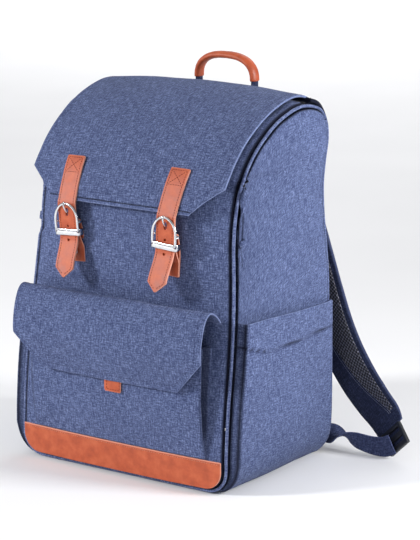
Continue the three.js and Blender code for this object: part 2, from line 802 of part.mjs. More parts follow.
function buckleFrame() {
  const route = [point(-rimHalf, rimFront, 0), point(-rimHalf, rimFront, buckleShoulder / 2)];
  const steps = 10;
  for (let i = 0; i <= steps; i += 1) {
    const angle = Math.PI * (1 - i / steps);
    const z = buckleShoulder + (buckleHeight - buckleShoulder) * Math.sin(angle);
    route.push(point(rimHalf * Math.cos(angle), rimFront, z));
  }
  route.push(point(rimHalf, rimFront, buckleShoulder / 2), point(rimHalf, rimFront, 0));
  const cheekDepth = hingeBack - rimFront;
  const middle = (hingeBack + rimFront) / 2;
  const cheeks = [-1, 1].flatMap((side) => [
    bar(keeperThickness, cheekDepth, keeperHeight, side * (rimHalf + keeperThickness / 4), middle, 0),
    bar(keeperThickness, cheekDepth + hingeWire, hingeWire, side * rimHalf, middle, hingePlace),
  ]);
  return joined(
    wire(route, buckleWire),
    bar(2 * rimHalf + keeperThickness, keeperThickness, keeperHeight, 0, -(seamGap + keeperThickness / 2), 0),
    wire([point(-rimHalf, hingeBack, hingePlace), point(rimHalf, hingeBack, hingePlace)], hingeWire, 8),
    ...cheeks,
  );
}

const holeRise = hingePlace + holeAboveHinge;

function buckleProng() {
  const behind = hingeBack - (hingeWire + prongWire) / 2 - seamGap;
  const before = rimFront - (buckleWire + prongWire) / 2 - seamGap;
  return wire([
    point(0, behind, hingePlace - prongWire / 2),
    point(0, behind, holeRise - 2 * prongWire),
    point(0, (behind + before) / 2, holeRise),
    point(0, before, buckleHeight - prongReach),
    point(0, before, buckleHeight + prongReach),
  ], prongWire);
}

// The folded leather that holds the buckle: round the hinge bar, and sewn to the front below it.
const wall = frontAt(keeperAt.z - buckleTabDrop, keeperAt.x - buckleTabWidth / 2, seamGap).y - keeperAt.y;

function buckleTab() {
  const inner = hingeWire / 2 + seamGap;
  const outer = inner + tabLeather;
  const sewn = wall - 2 * tabLeather;
  const shape = new THREE.Shape();
  shape.moveTo(wall, -buckleTabDrop);
  const meet = buckleTabDrop * 0.55;
  const turn = buckleTabDrop * 0.3;
  shape.lineTo(wall, -turn);
  shape.lineTo(mix(hingeBack + outer, wall, leafShare), 0);
  shape.lineTo(hingeBack + outer, hingePlace);
  shape.absarc(hingeBack, hingePlace, outer, 0, Math.PI, false);
  shape.lineTo(hingeBack - outer, 0);
  shape.lineTo((hingeBack - outer + sewn) / 2, -turn);
  shape.lineTo(sewn, -meet);
  shape.lineTo(sewn, -buckleTabDrop);
  shape.closePath();
  const eye = new THREE.Path();
  eye.moveTo(hingeBack + inner, hingePlace);
  eye.lineTo(mix(hingeBack + inner, wall - tabLeather, leafShare), 0);
  eye.lineTo(wall - tabLeather, -turn - seamGap);
  eye.lineTo(wall - tabLeather - seamGap, seamGap - meet);
  eye.lineTo((hingeBack - inner + sewn + tabLeather) / 2, seamGap - turn);
  eye.lineTo(hingeBack - inner, 0);
  eye.lineTo(hingeBack - inner, hingePlace);
  eye.absarc(hingeBack, hingePlace, inner, Math.PI, 0, true);
  shape.holes.push(eye);
  const folded = new THREE.ExtrudeGeometry(shape, {
    depth: buckleTabWidth,
    bevelEnabled: false,
    curveSegments: 6,
  });
  folded.translate(0, 0, -buckleTabWidth / 2);
  folded.applyMatrix4(new THREE.Matrix4().makeBasis(point(0, 1, 0), point(0, 0, 1), point(1, 0, 0)));
  const slot = prongWire + 2 * seamGap;
  return cut(welded(folded), bar(slot, outer * 2, outer * 4, 0, hingeBack - outer - inner, hingePlace));
}

function snap() {
  const face = wall - 2 * tabLeather - seamGap;
  const profile = [
    new THREE.Vector2(0, 0),
    new THREE.Vector2(snapDiameter / 2, 0),
    new THREE.Vector2(snapDiameter / 2, snapThickness * 0.5),
    new THREE.Vector2(snapDiameter / 4, snapThickness),
    new THREE.Vector2(0, snapThickness),
  ];
  const dome = welded(new THREE.LatheGeometry(profile, 12));
  dome.rotateX(Math.PI);
  return dome.translate(0, face, -buckleTabDrop * snapShare);
}

// The strap's holes: a long one that the prong comes through, and round ones below it.
function strap() {
  const through = strapThickness * 12;
  const slot = bar(holeDiameter, through, holeDiameter * 2, 0, 0, holeRise);
  const holes = [1, 2].map((step) => {
    const drill = new THREE.CylinderGeometry(holeDiameter / 4, holeDiameter / 4, through, 8);
    return welded(drill.translate(0, 0, holeRise - step * holeSpacing));
  });
  return cut(strapBlank(), ...[slot, ...holes].map((tool) => tool.applyMatrix4(atBuckle)));
}

addPair('strap', strap, leather);
addPair('buckle', () => buckleFrame().applyMatrix4(atBuckle), metal);
addPair('buckle_prong', () => buckleProng().applyMatrix4(atBuckle), metal);
addPair('buckle_tab', () => buckleTab().applyMatrix4(atBuckle), leather);
addPair('snap', () => snap().applyMatrix4(atBuckle), metal);

// A side pocket: a wall round three sides of the side panel, open at the top.
const pocketRunTop = sidePocketTop - cornerRadius + cornerRun;
const pocketRunFoot = cornerRun * (1 - sidePocketWrapDegrees / 90);
const sidePocketRuns = [];
for (let i = 0; i <= 3; i += 1) sidePocketRuns.push(mix(pocketRunFoot, cornerRun, i / 3));
for (let i = 1; i <= 4; i += 1) sidePocketRuns.push(mix(cornerRun, pocketRunTop, i / 4));
const sidePocketColumns = 12;
const sideGusset = 1 / sidePocketColumns;

addPair('side_pocket', () => shaped(sidePocketColumns, sidePocketRuns.length - 1, (u, v, w) => {
  const run = sidePocketRuns[Math.round(v * (sidePocketRuns.length - 1))];
  const front = sideEdgeAt(run, false) + seamGap;
  const back = sideEdgeAt(run, true) - seamGap;
  const inset = clothThickness * (1 - w);
  const fill = Math.min((run - pocketRunFoot) / sidePocketFoot, 1);
  const along = THREE.MathUtils.clamp((u - sideGusset) / (1 - 2 * sideGusset), 0, 1);
  const y = mix(front + inset, back - inset, along);
  const full = sidePocketDepth * readTable(sidePocketSections, 'along', 'out', along);
  const stand = Math.max(full * mix(footDepthShare, 1, fill), clothThickness) - inset;
  const base = 2 * seamGap + bulgeAt(y, run);
  if (u < sideGusset) return onSide(y, run, base + stand * (u / sideGusset));
  if (u > 1 - sideGusset) return onSide(y, run, base + stand * ((1 - u) / sideGusset));
  return onSide(y, run, base + stand);
}), denim);

// The carrying handle, and the two webbing stubs that hold it to the back.
const archPoints = [];
const archSteps = 16;
for (let i = 0; i <= archSteps; i += 1) {
  const angle = Math.PI * (1 - i / archSteps);
  const side = Math.sign(Math.cos(angle));
  const x = (handleSpan / 2) * side * Math.abs(Math.cos(angle)) ** handleRoundShare;
  archPoints.push(point(x, handleBack, handleFoot + handleRise * Math.sin(angle) ** handleRoundShare));
}
add('carry_handle', rod(archPoints, handleThickness / 2, handleWidth / 2, 10, point(0, 1, 0)), leather());

addPair('handle_stub', () => {
  const share = shareAtHeight(stubSeat, true);
  const x = handleSpan / 2;
  const route = [
    onBody(share, x, 2 * seamGap),
    onBody(share, x, stubWidth / 2),
    point(x, handleBack, mix(stubSeat, handleFoot, stubBendShare)),
    point(x, handleBack, handleFoot - 2 * seamGap),
  ];
  return rod(route, stubThickness / 2, stubWidth / 2, 8, point(0, 1, 0.3));
}, navy);

// The padded shoulder strap, from the top of the back down and outwards to its ladder lock.
const shoulderPoints = shoulderRoute.map((row) => point(
  row.across * (bodyWidth / 2),
  row.back * bodyDepth,
  row.height * bodyHeight,
));
const shoulderSeat = shareAtHeight(shoulderPoints[0].z, true);
shoulderPoints[0].y = onBody(shoulderSeat, shoulderPoints[0].x - padWidth / 2, seamGap).y;
const shoulderCurve = new THREE.CatmullRomCurve3(shoulderPoints, false, 'centripetal');

function onShoulder(run, across, out) {
  const place = run * (shoulderRoute.length - 1);
  const i = Math.min(Math.floor(place), shoulderRoute.length - 2);
  const value = (key) => mix(shoulderRoute[i][key], shoulderRoute[i + 1][key], place - i);
  const along = shoulderCurve.getTangent(run);
  const down = THREE.MathUtils.degToRad(value('down'));
  const face = point(0, -Math.cos(down), -Math.sin(down));
  face.addScaledVector(along, -face.dot(along)).normalize();
  const aside = along.clone().cross(face).normalize();
  if (aside.x < 0) aside.negate();
  return shoulderCurve.getPoint(run)
    .addScaledVector(aside, (across - 0.5) * padWidth * value('width'))
    .addScaledVector(face, out(padThickness * value('thick')));
}

const padEdge = (across) => 1 - padEdgeShare * Math.abs(2 * across - 1) ** 3;

const padRows = 20;
const meshRows = 14;
addPair('shoulder_pad', () => shaped(4, padRows, (u, v, w) => (
  onShoulder(v, u, (thick) => (w - 0.5) * thick * padEdge(u))
)), navy);

addPair('pad_mesh', () => shaped(4, meshRows, (u, v, w) => {
  const inner = readTable(meshSections, 'run', 'inner', v);
  const outer = readTable(meshSections, 'run', 'outer', v);
  const across = mix(inner, outer, u);
  const lift = 2 * seamGap + meshThickness * w;
  return onShoulder(mix(meshTopShare, meshFootShare, v), across, (thick) => (thick / 2) * padEdge(across) + lift);
}), mesh);

// The ladder lock at the foot of the pad, with two slots.
function ladderLock() {
  const plate = bar(lockWidth, lockThickness, lockHeight, 0, 0, -lockHeight / 2);
  const slots = [0, 1].map((step) => (
    bar(slotWidth, lockThickness * 2, slotHeight, 0, 0, -slotRise - step * slotSpacing)
  ));
  const end = onShoulder(1, 0.5, () => 0);
  const along = shoulderCurve.getTangent(1);
  const back = point(0, 1, 0).addScaledVector(along, -along.y).normalize();
  const aside = back.clone().cross(along.clone().negate());
  end.addScaledVector(along, 2 * seamGap);
  const stand = new THREE.Matrix4()
    .makeBasis(aside, back, along.clone().negate())
    .setPosition(end.x, end.y, end.z);
  return cut(plate, ...slots).applyMatrix4(stand);
}
addPair('ladder_lock', ladderLock, plastic);

// The webbing from the foot of the back, with half a turn in it.
const webbingHigh = webbingRoute[0].height * bodyHeight + webbingWidth / 2;
const webbingSeat = onBody(shareAtHeight(webbingHigh, true), bodyWidth / 2 - seam, 0).y;
const webbingPoints = webbingRoute.map((row) => point(
  row.across * (bodyWidth / 2),
  webbingSeat + seamGap + webbingThickness + row.back * bodyDepth,
  row.height * bodyHeight,
));
const webbingCurve = new THREE.CatmullRomCurve3(webbingPoints, false, 'centripetal');
const webbingRows = 20;
addPair('strap_webbing', () => shaped(2, webbingRows, (u, v, w) => {
  const place = v * (webbingRoute.length - 1);
  const i = Math.min(Math.floor(place), webbingRoute.length - 2);
  const turn = THREE.MathUtils.degToRad(mix(webbingRoute[i].turn, webbingRoute[i + 1].turn, place - i));
  const along = webbingCurve.getTangent(v);
  const wide = point(0, Math.cos(turn), Math.sin(turn));
  wide.addScaledVector(along, -wide.dot(along)).normalize();
  const through = along.clone().cross(wide);
  return webbingCurve.getPoint(v)
    .addScaledVector(wide, (u - 0.5) * webbingWidth)
    .addScaledVector(through, (w - 0.5) * webbingThickness);
}), navy);

export default bag;
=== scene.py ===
"""The looks of a cooler backpack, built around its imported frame; in millimetres until a mesh is made."""
import math

import bmesh
import bpy
import numpy as np
from mathutils import Matrix, Vector


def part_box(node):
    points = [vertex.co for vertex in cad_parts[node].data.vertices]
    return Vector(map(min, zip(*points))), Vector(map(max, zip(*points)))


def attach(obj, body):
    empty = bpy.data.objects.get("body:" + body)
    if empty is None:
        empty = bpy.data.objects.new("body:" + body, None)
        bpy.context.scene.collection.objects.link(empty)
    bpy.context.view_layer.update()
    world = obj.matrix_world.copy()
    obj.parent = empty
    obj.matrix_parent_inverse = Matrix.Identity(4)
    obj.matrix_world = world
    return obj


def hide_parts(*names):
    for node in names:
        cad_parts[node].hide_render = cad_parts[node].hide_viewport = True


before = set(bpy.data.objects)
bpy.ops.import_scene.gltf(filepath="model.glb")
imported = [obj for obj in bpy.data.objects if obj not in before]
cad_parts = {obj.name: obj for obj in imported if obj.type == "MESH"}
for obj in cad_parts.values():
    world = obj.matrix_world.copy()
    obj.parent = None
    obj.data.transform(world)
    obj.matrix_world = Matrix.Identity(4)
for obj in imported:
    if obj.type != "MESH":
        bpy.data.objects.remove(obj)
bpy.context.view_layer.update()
MM = 0.001

# The frame's sizes.
BODY_W, BODY_D, BODY_H = 312.0, 216.0, 437.0
WALL = 6.0
SEAM = 6.3
GAP = 0.3
CORNER = 30.0
CORNER_RUN = CORNER * math.pi / 2
FRONT_CROWN, TOP_CROWN, BACK_CROWN, SIDE_BULGE = 4.0, 9.0, 5.0, 5.0
PIPING_R = 2.45
FLAP_W, FLAP_T = 283.0, 3.0
FLAP_CHAMFER_W, FLAP_CHAMFER_DROP, FLAP_LIFT = 40.0, 32.5, 12.5
FLAP_HEM = 0.739 * BODY_H
TRIM_H, LEATHER_T = 41.0, 2.0
POCKET_W, POCKET_TOP, POCKET_D, CLOTH_T = 256.0, 0.3936 * BODY_H, 17.0, 2.5
PFLAP_W, PFLAP_SEAM, PFLAP_DROP, PFLAP_REACH = 280.0, 0.469 * BODY_H, 83.0, 42.0
PFLAP_SHOULDER, PFLAP_CHAMFER_W = 40.0, 40.0
STRAP_SPACING, STRAP_W, STRAP_T = 155.0, 26.0, 2.6
STRAP_TOP, STRAP_TAIL, STRAP_LEAN, STRAP_KICK = 0.8535 * BODY_H, 90.0, 9.0, 18.0
BUCKLE_WIRE, BUCKLE_H, BUCKLE_GAP, BUCKLE_DROP, BUCKLE_SHOULDER = 3.2, 34.0, 2.0, 39.0, 14.3
KEEPER_H, KEEPER_T, HINGE_WIRE, HINGE_Z, PRONG_WIRE = 8.0, 1.6, 2.4, 12.0, 2.2
TAB_LEATHER, TAB_W, TAB_DROP = 1.8, 25.0, 37.0
SIDE_POCKET_TOP, SIDE_POCKET_D, SIDE_POCKET_FOOT = 0.46 * BODY_H, 13.5, 35.0
HANDLE_SPAN, HANDLE_RISE, HANDLE_FOOT, HANDLE_BACK = 84.0, 29.0, BODY_H + 11, BODY_D / 2 + 5
STUB_SEAT = BODY_H - 24
PAD_W, PAD_T, WEB_W, WEB_T = 58.0, 11.0, 24.0, 1.6

SIDE_OUTLINE = [
    (0.000, 0.000), (0.000, 0.100), (0.018, 0.220), (0.046, 0.340), (0.068, 0.450), (0.082, 0.570),
    (0.093, 0.690), (0.125, 0.775), (0.180, 0.840), (0.280, 0.900), (0.420, 0.950), (0.560, 0.982),
    (0.720, 1.000), (0.840, 0.995), (0.938, 0.975), (0.990, 0.938), (1.000, 0.890), (0.972, 0.830),
    (0.952, 0.770), (0.955, 0.700), (0.975, 0.620), (0.997, 0.520), (1.000, 0.400), (1.000, 0.250),
    (0.992, 0.110), (0.975, 0.045), (0.950, 0.010),
]
# height, aside, back
CORNER_PINCH = [
    (0.00, 0.0, 0.0), (0.20, 0.0, 1.0), (0.34, 0.5, 3.0), (0.52, 4.5, 8.5), (0.63, 8.0, 12.0),
    (0.70, 10.0, 14.5), (0.75, 10.0, 14.5), (0.82, 6.5, 10.5), (0.90, 2.5, 4.0), (0.97, 0.0, 0.0),
]
PINCH_EDGE, PINCH_REACH = 10.0, 110.0
FLAP_STAND = [(0.00, 0.02), (0.08, 0.16), (0.20, 0.36), (0.38, 0.26), (0.62, 0.22), (0.80, 0.34),
              (0.92, 0.72), (1.00, 1.00)]
POCKET_SECTIONS = [(0.00, 0.13), (0.10, 0.34), (0.28, 0.60), (0.52, 0.86), (0.78, 1.00), (1.00, 1.00)]
PFLAP_SECTIONS = [(0.00, 0.014), (-0.09, 0.17), (-0.16, 0.38), (-0.165, 0.56), (-0.10, 0.72),
                  (0.05, 0.86), (0.27, 0.97), (0.50, 1.00), (0.76, 0.90), (1.00, 0.76)]
STRAP_TAIL_ROWS = [(0.05, 0.08), (0.22, 0.08), (0.51, 0.08), (0.58, 0.17), (0.67, 0.36),
                   (0.79, 0.64), (0.88, 0.80), (1.00, 1.00)]
SIDE_POCKET_SECTIONS = [(0.00, 1.00), (0.15, 0.98), (0.50, 0.78), (0.85, 0.50), (1.00, 0.40)]
# across, back, height, width, thick, down
SHOULDER = [
    (0.359, 0.490, 0.915, 0.80, 0.55, 90), (0.360, 0.572, 0.915, 0.90, 0.80, 82),
    (0.397, 0.612, 0.874, 1.00, 1.00, 42), (0.462, 0.632, 0.789, 1.00, 1.00, 8),
    (0.531, 0.652, 0.698, 1.00, 1.00, 2), (0.597, 0.676, 0.604, 1.00, 1.00, 0),
    (0.662, 0.698, 0.510, 1.00, 1.00, 0), (0.730, 0.713, 0.420, 1.00, 1.00, 0),
    (0.825, 0.713, 0.332, 0.98, 1.00, 0), (0.949, 0.702, 0.256, 0.95, 1.00, 0),
    (1.090, 0.690, 0.191, 0.92, 1.00, 0), (1.231, 0.671, 0.144, 0.88, 0.95, 0),
    (1.370, 0.643, 0.107, 0.82, 0.85, 0), (1.440, 0.620, 0.081, 0.74, 0.60, 0),
]
MESH_SECTIONS = [(0.00, 0.08), (0.40, 0.08), (0.60, 0.36), (0.85, 0.62), (1.00, 0.80)]
MESH_OUTER = 0.92
# across, back, height, turn
WEBBING = [
    (0.890, 0.000, 0.054, 90), (0.960, 0.010, 0.052, 80), (1.015, 0.016, 0.052, 48),
    (1.070, 0.021, 0.051, 2), (1.130, 0.026, 0.048, -44), (1.210, 0.033, 0.042, -70),
    (1.350, 0.046, 0.034, -82), (1.450, 0.053, 0.036, -90), (1.510, 0.058, 0.046, -90),
]


# Numbers and curves.
def mix(a, b, t):
    return a + (b - a) * t


def table(rows, at):
    """The second column of some rows, read at values of the first."""
    return np.interp(at, [r[0] for r in rows], [r[1] for r in rows])


def catmull(points, shares):
    """Points on a centripetal Catmull-Rom curve through the given points, evenly counted between them."""
    pts = np.asarray(points, float)
    ends = np.vstack([2 * pts[0] - pts[1], pts, 2 * pts[-1] - pts[-2]])
    place = np.clip(np.asarray(shares, float), 0, 1) * (len(pts) - 1)
    i = np.minimum(np.floor(place).astype(int), len(pts) - 2)
    t = (place - i)[..., None]
    p0, p1, p2, p3 = ends[i], ends[i + 1], ends[i + 2], ends[i + 3]
    gap = [np.sqrt(np.linalg.norm(b - a, axis=-1))[..., None] for a, b in ((p0, p1), (p1, p2), (p2, p3))]
    gap[1] = np.maximum(gap[1], 1e-4)
    d0, d1, d2 = np.where(gap[0] < 1e-4, gap[1], gap[0]), gap[1], np.where(gap[2] < 1e-4, gap[1], gap[2])
    m1 = ((p1 - p0) / d0 - (p2 - p0) / (d0 + d1) + (p2 - p1) / d1) * d1
    m2 = ((p2 - p1) / d1 - (p3 - p1) / (d1 + d2) + (p3 - p2) / d2) * d1
    return p1 + m1 * t + (-3 * p1 + 3 * p2 - 2 * m1 - m2) * t ** 2 + (2 * p1 - 2 * p2 + m1 + m2) * t ** 3


def unit(v):
    return v / np.maximum(np.linalg.norm(v, axis=-1, keepdims=True), 1e-9)


def run_along(points):
    """The length along a path at each of its points."""
    return np.concatenate([[0], np.cumsum(np.linalg.norm(np.diff(points, axis=0), axis=-1))])


def hashed(i, seed):
    """A repeatable value from -1 to 1 for each whole-number place."""
    h = (i[..., 0] * 73856093) ^ (i[..., 1] * 19349663) ^ (i[..., 2] * 83492791) ^ (seed * 2654435761)
    h = (h ^ (h >> 13)) * 1274126177
    return ((h ^ (h >> 16)) & 0xFFFF) / 32767.5 - 1.0


def wave(points, size, seed):
    """Smooth noise from -1 to 1 over points, with the given size of its waves."""
    p = points / np.asarray(size, float)
    i = np.floor(p).astype(np.int64)
    f = p - i
    f = f * f * (3 - 2 * f)
    total = np.zeros(p.shape[:-1])
    for dx in (0, 1):
        for dy in (0, 1):
            for dz in (0, 1):
                w = (f[..., 0] if dx else 1 - f[..., 0]) * (f[..., 1] if dy else 1 - f[..., 1])
                w = w * (f[..., 2] if dz else 1 - f[..., 2])
                total += w * hashed(i + np.array([dx, dy, dz]), seed)
    return total


def soft_waves(points, seed, large, small):
    """Gentle waves of two kinds, each given as its size and its height."""
    return wave(points, large[0], seed) * large[1] + wave(points, small[0], seed + 1) * small[1]


# The body's skin.
SHARES = np.linspace(0, 1, 6001)
LINE = catmull([((d - 0.5) * BODY_D, h * BODY_H) for d, h in SIDE_OUTLINE], SHARES)
ALONG = unit(np.gradient(LINE, axis=0))
TOP_SHARE = 12 / (len(SIDE_OUTLINE) - 1)
ON_FRONT = SHARES <= TOP_SHARE
RISE_FRONT = np.maximum.accumulate(LINE[ON_FRONT, 1])
RISE_BACK = np.maximum.accumulate(LINE[~ON_FRONT, 1][::-1])


def line(share):
    """The body's outline seen from the side: a place and an outward direction, front foot to back foot."""
    y, z = np.interp(share, SHARES, LINE[:, 0]), np.interp(share, SHARES, LINE[:, 1])
    ny, nz = -np.interp(share, SHARES, ALONG[:, 1]), np.interp(share, SHARES, ALONG[:, 0])
    return y, z, ny, nz


def share_at(height, back=False):
    if back:
        return np.interp(height, RISE_BACK, SHARES[~ON_FRONT][::-1])
    return np.interp(height, RISE_FRONT, SHARES[ON_FRONT])


def on_body(share, x, out):
    """Places on the crowned skin of the front, top and back, moved outwards."""
    y, z, ny, nz = line(share)
    swell = np.where(nz > 0, mix(FRONT_CROWN, TOP_CROWN, nz), FRONT_CROWN)
    crown = np.where(ny > 0, mix(swell, BACK_CROWN, ny), swell)
    lift = crown * (1 - (x / (BODY_W / 2)) ** 2) + out
    return np.stack(np.broadcast_arrays(x, y + ny * lift, z + nz * lift), -1)


def pinch_at(share):
    """How far the closed lid draws the front's side edges in and back."""
    height = line(share)[1] / BODY_H
    fine = catmull([(r[0], r[1], r[2]) for r in CORNER_PINCH], np.linspace(0, 1, 400))
    on_front = np.asarray(share) <= TOP_SHARE
    aside, back = (np.maximum(np.interp(height, fine[:, 0], fine[:, k]), 0) for k in (1, 2))
    return np.where(on_front, aside, 0), np.where(on_front, back, 0)


def on_wall(share, x, out):
    """The same skin, with the front's pinched side edges."""
    aside, back = pinch_at(share)
    near = np.minimum(np.abs(x) / (BODY_W / 2 - aside - PINCH_EDGE), 1) ** 6
    return on_body(share, x, out - back * near)


def front_at(height, x, out):
    return on_body(share_at(height), x, out)


def half_width(height, inset):
    """Half the front's width at a height, narrower in the rounded lower corners."""
    reach = max(CORNER - inset, 0)
    fall = np.clip(CORNER - height, 0, reach)
    rounded = BODY_W / 2 - CORNER + np.sqrt(np.maximum(reach ** 2 - fall ** 2, 0))
    return np.where(height >= CORNER, BODY_W / 2 - inset, rounded)


def on_side(y, run, out):
    """Places on a side, which bends in under the base; run is the way up the cloth from there."""
    angle = np.clip((CORNER_RUN - run) / CORNER, 0, None)
    x = BODY_W / 2 - CORNER + (CORNER + out) * np.cos(angle)
    z = np.where(run >= CORNER_RUN, run - CORNER_RUN + CORNER, CORNER - (CORNER + out) * np.sin(angle))
    return np.stack(np.broadcast_arrays(x, y, z), -1)


def edge_at(share, inset=SEAM):
    y, z, ny, nz = line(share)
    deep = inset + pinch_at(share)[1]
    return y - ny * deep, z - nz * deep - CORNER + CORNER_RUN


def side_edge(run, back):
    height = np.where(run < CORNER_RUN, CORNER * (1 - np.sin(np.clip((CORNER_RUN - run) / CORNER, 0, None))),
                      run - CORNER_RUN + CORNER)
    return edge_at(share_at(height, back))[0]


def bulge_at(y, run):
    """How far a side swells out, less the front edge's pinch."""
    height = run - CORNER_RUN + CORNER
    front, back = line(share_at(height))[0], line(share_at(height, True))[0]
    aside, pinch_back = pinch_at(share_at(height))
    along = np.clip((y - front) / np.maximum(back - front, 1e-6), 0, 1)
    rise = np.clip((height - CORNER) / (BODY_H - CORNER), 0, 1)
    fade = np.clip(1 - (y - front - pinch_back - PINCH_EDGE) / PINCH_REACH, 0, 1)
    swell = SIDE_BULGE * 16 * along * (1 - along) * rise * (1 - rise)
    return np.where(height <= CORNER, 0, swell - aside * fade ** 2)


# Meshes.
def linked(thing):
    bpy.context.scene.collection.objects.link(thing)
    return thing


def outward(data):
    """Turns a mesh's faces outwards."""
    work = bmesh.new()
    work.from_mesh(data)
    bmesh.ops.recalc_face_normals(work, faces=work.faces)
    work.to_mesh(data)
    work.free()


def keep(name, verts, faces, material, attributes=()):
    """Makes one visible piece, with the point values that its material reads."""
    data = bpy.data.meshes.new(name)
    data.from_pydata((np.asarray(verts) * MM).tolist(), [], faces)
    for label, kind, values in attributes:
        layer = data.attributes.new(label, kind, "POINT")
        field = "value" if kind == "FLOAT" else "vector"
        layer.data.foreach_set(field, np.asarray(values, np.float32).ravel())
    outward(data)
    data.polygons.foreach_set("use_smooth", [True] * len(data.polygons))
    data.materials.append(material)
    thing = linked(bpy.data.objects.new(name, data))
    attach(thing, "root")
    return thing


def grid_normals(points):
    across, along = np.gradient(points, axis=1), np.gradient(points, axis=0)
    return unit(np.cross(across, along))


def facing(points, direction):
    """The same grid, its columns turned round if its middle faces away from a direction."""
    middle = grid_normals(points)[len(points) // 2, points.shape[1] // 2]
    return points if middle @ np.asarray(direction, float) > 0 else points[:, ::-1]


def trace(grid, across, along):
    """Points and outward directions at flat places on a grid, across from its middle and along from its top."""
    flat, normal = lengths(grid), grid_normals(grid)
    sign = 1.0 if flat[0, -1, 0] > flat[0, 0, 0] else -1.0
    rows = np.interp(along, flat[:, 0, 1], np.arange(len(grid)))
    out = []
    for place, row in zip(np.broadcast_to(across, len(rows)), rows):
        i = min(int(row), len(grid) - 2)
        share = row - i
        pair = []
        for k in (i, i + 1):
            col = np.interp(sign * place, sign * flat[k, :, 0], np.arange(grid.shape[1]))
            j = min(int(col), grid.shape[1] - 2)
            part = col - j
            pair.append([mix(field[k, j], field[k, j + 1], part) for field in (grid, normal)])
        out.append([mix(pair[0][n], pair[1][n], share) for n in (0, 1)])
    out = np.array(out)
    return out[:, 0], out[:, 1]


def lengths(points):
    """Each grid point's place on the flat cloth: across from the middle column, and along."""
    across = np.linalg.norm(np.diff(points, axis=1), axis=-1)
    across = np.concatenate([np.zeros((len(points), 1)), np.cumsum(across, axis=1)], axis=1)
    across -= across[:, [points.shape[1] // 2]]
    middle = points[:, points.shape[1] // 2]
    along = run_along(middle)
    return np.stack([across, np.repeat(along[:, None], points.shape[1], 1), np.zeros(across.shape)], -1)


CLOTH_FRAMES, CLOTH_STIFF, CLOTH_SLACK, CLOTH_PRESSURE = 16, 12.0, 0.004, 1.2


def relaxed(points, pinned, cap):
    """The grid of points after a short cloth simulation, with each point's move capped."""
    rows, cols = points.shape[:2]
    index = np.arange(rows * cols).reshape(rows, cols)
    faces = np.stack([index[:-1, :-1], index[:-1, 1:], index[1:, 1:], index[1:, :-1]], -1).reshape(-1, 4)
    data = bpy.data.meshes.new("cloth_work")
    data.from_pydata((points.reshape(-1, 3) * MM).tolist(), [], faces.tolist())
    thing = linked(bpy.data.objects.new("cloth_work", data))
    group = thing.vertex_groups.new(name="pin")
    group.add(index[pinned].tolist(), 1.0, "REPLACE")
    cloth = thing.modifiers.new("cloth", "CLOTH")
    setup = cloth.settings
    setup.vertex_group_mass = "pin"
    setup.quality = 5
    setup.mass = 0.2
    setup.tension_stiffness = setup.compression_stiffness = CLOTH_STIFF
    setup.shear_stiffness = CLOTH_STIFF / 2
    setup.bending_stiffness = 0.6
    setup.shrink_min = -CLOTH_SLACK
    setup.use_pressure = True
    setup.uniform_pressure_force = CLOTH_PRESSURE
    setup.effector_weights.gravity = 0
    cloth.point_cache.frame_start = 1
    cloth.point_cache.frame_end = CLOTH_FRAMES
    scene = bpy.context.scene
    for step in range(1, CLOTH_FRAMES + 1):
        scene.frame_set(step)
    shown = thing.evaluated_get(bpy.context.evaluated_depsgraph_get())
    out = np.zeros(rows * cols * 3, np.float32)
    shown.data.vertices.foreach_get("co", out)
    scene.frame_set(1)
    bpy.data.objects.remove(thing)
    bpy.data.meshes.remove(data)
    move = out.reshape(points.shape) / MM - points
    size = np.linalg.norm(move, axis=-1, keepdims=True)
    return points + move * np.minimum(1, cap[..., None] / np.maximum(size, 1e-6))


def closed_sheet(name, outer, thick, material, rim=0.35, inner=None, edge_soft=0.0, shade=0.0):
    """A closed sheet under a grid of outer points, with a rounded rim; shade is painted shade that darkens its
    seams and folds.
    """
    normal = grid_normals(outer)
    if inner is None:
        inner = outer - normal * thick
    rows, cols = outer.shape[:2]
    index = np.arange(rows * cols).reshape(rows, cols)
    loop = np.concatenate([index[0, :], index[1:, -1], index[-1, -2::-1], index[-2:0:-1, 0]])
    flat_out, flat_in = outer.reshape(-1, 3), inner.reshape(-1, 3)
    centre_i = np.clip(np.arange(rows), 1, rows - 2)
    centre_j = np.clip(np.arange(cols), 1, cols - 2)
    inside = outer[np.ix_(centre_i, centre_j)].reshape(-1, 3)
    away = unit(flat_out[loop] - inside[loop])
    depth = np.linalg.norm(flat_out[loop] - flat_in[loop], axis=-1, keepdims=True)
    rims = []
    for share, push in ((0.22, 0.75), (0.5, 1.0), (0.78, 0.75)):
        rims.append(mix(flat_out[loop], flat_in[loop], share) + away * depth * rim * push)
    n, m = rows * cols, len(loop)
    verts = np.vstack([flat_out, flat_in, *rims])
    faces = np.stack([index[:-1, :-1], index[:-1, 1:], index[1:, 1:], index[1:, :-1]], -1).reshape(-1, 4)
    back = faces[:, ::-1] + n
    rings = [loop, 2 * n + np.arange(m), 2 * n + m + np.arange(m), 2 * n + 2 * m + np.arange(m), loop + n]
    sides = [np.stack([a, b, np.roll(b, -1), np.roll(a, -1)], -1) for a, b in zip(rings, rings[1:])]
    every = np.vstack([faces, back, *sides]).tolist()
    cloth = lengths(outer).reshape(-1, 3)
    weave = np.vstack([cloth, cloth, cloth[loop], cloth[loop], cloth[loop]]) * MM
    edge = np.concatenate([np.zeros(2 * n), np.ones(3 * m)])
    edge[loop] = edge[loop + n] = edge_soft
    # Painted shade for each point, which the cloth material mixes in as a deep navy.
    deep = np.broadcast_to(shade, (rows, cols)).ravel()
    deep = np.concatenate([deep, deep, deep[loop], deep[loop], deep[loop]])
    return keep(name, verts, every, material, (
        ("weave", "FLOAT_VECTOR", weave), ("edge", "FLOAT", edge), ("shade", "FLOAT", deep)))


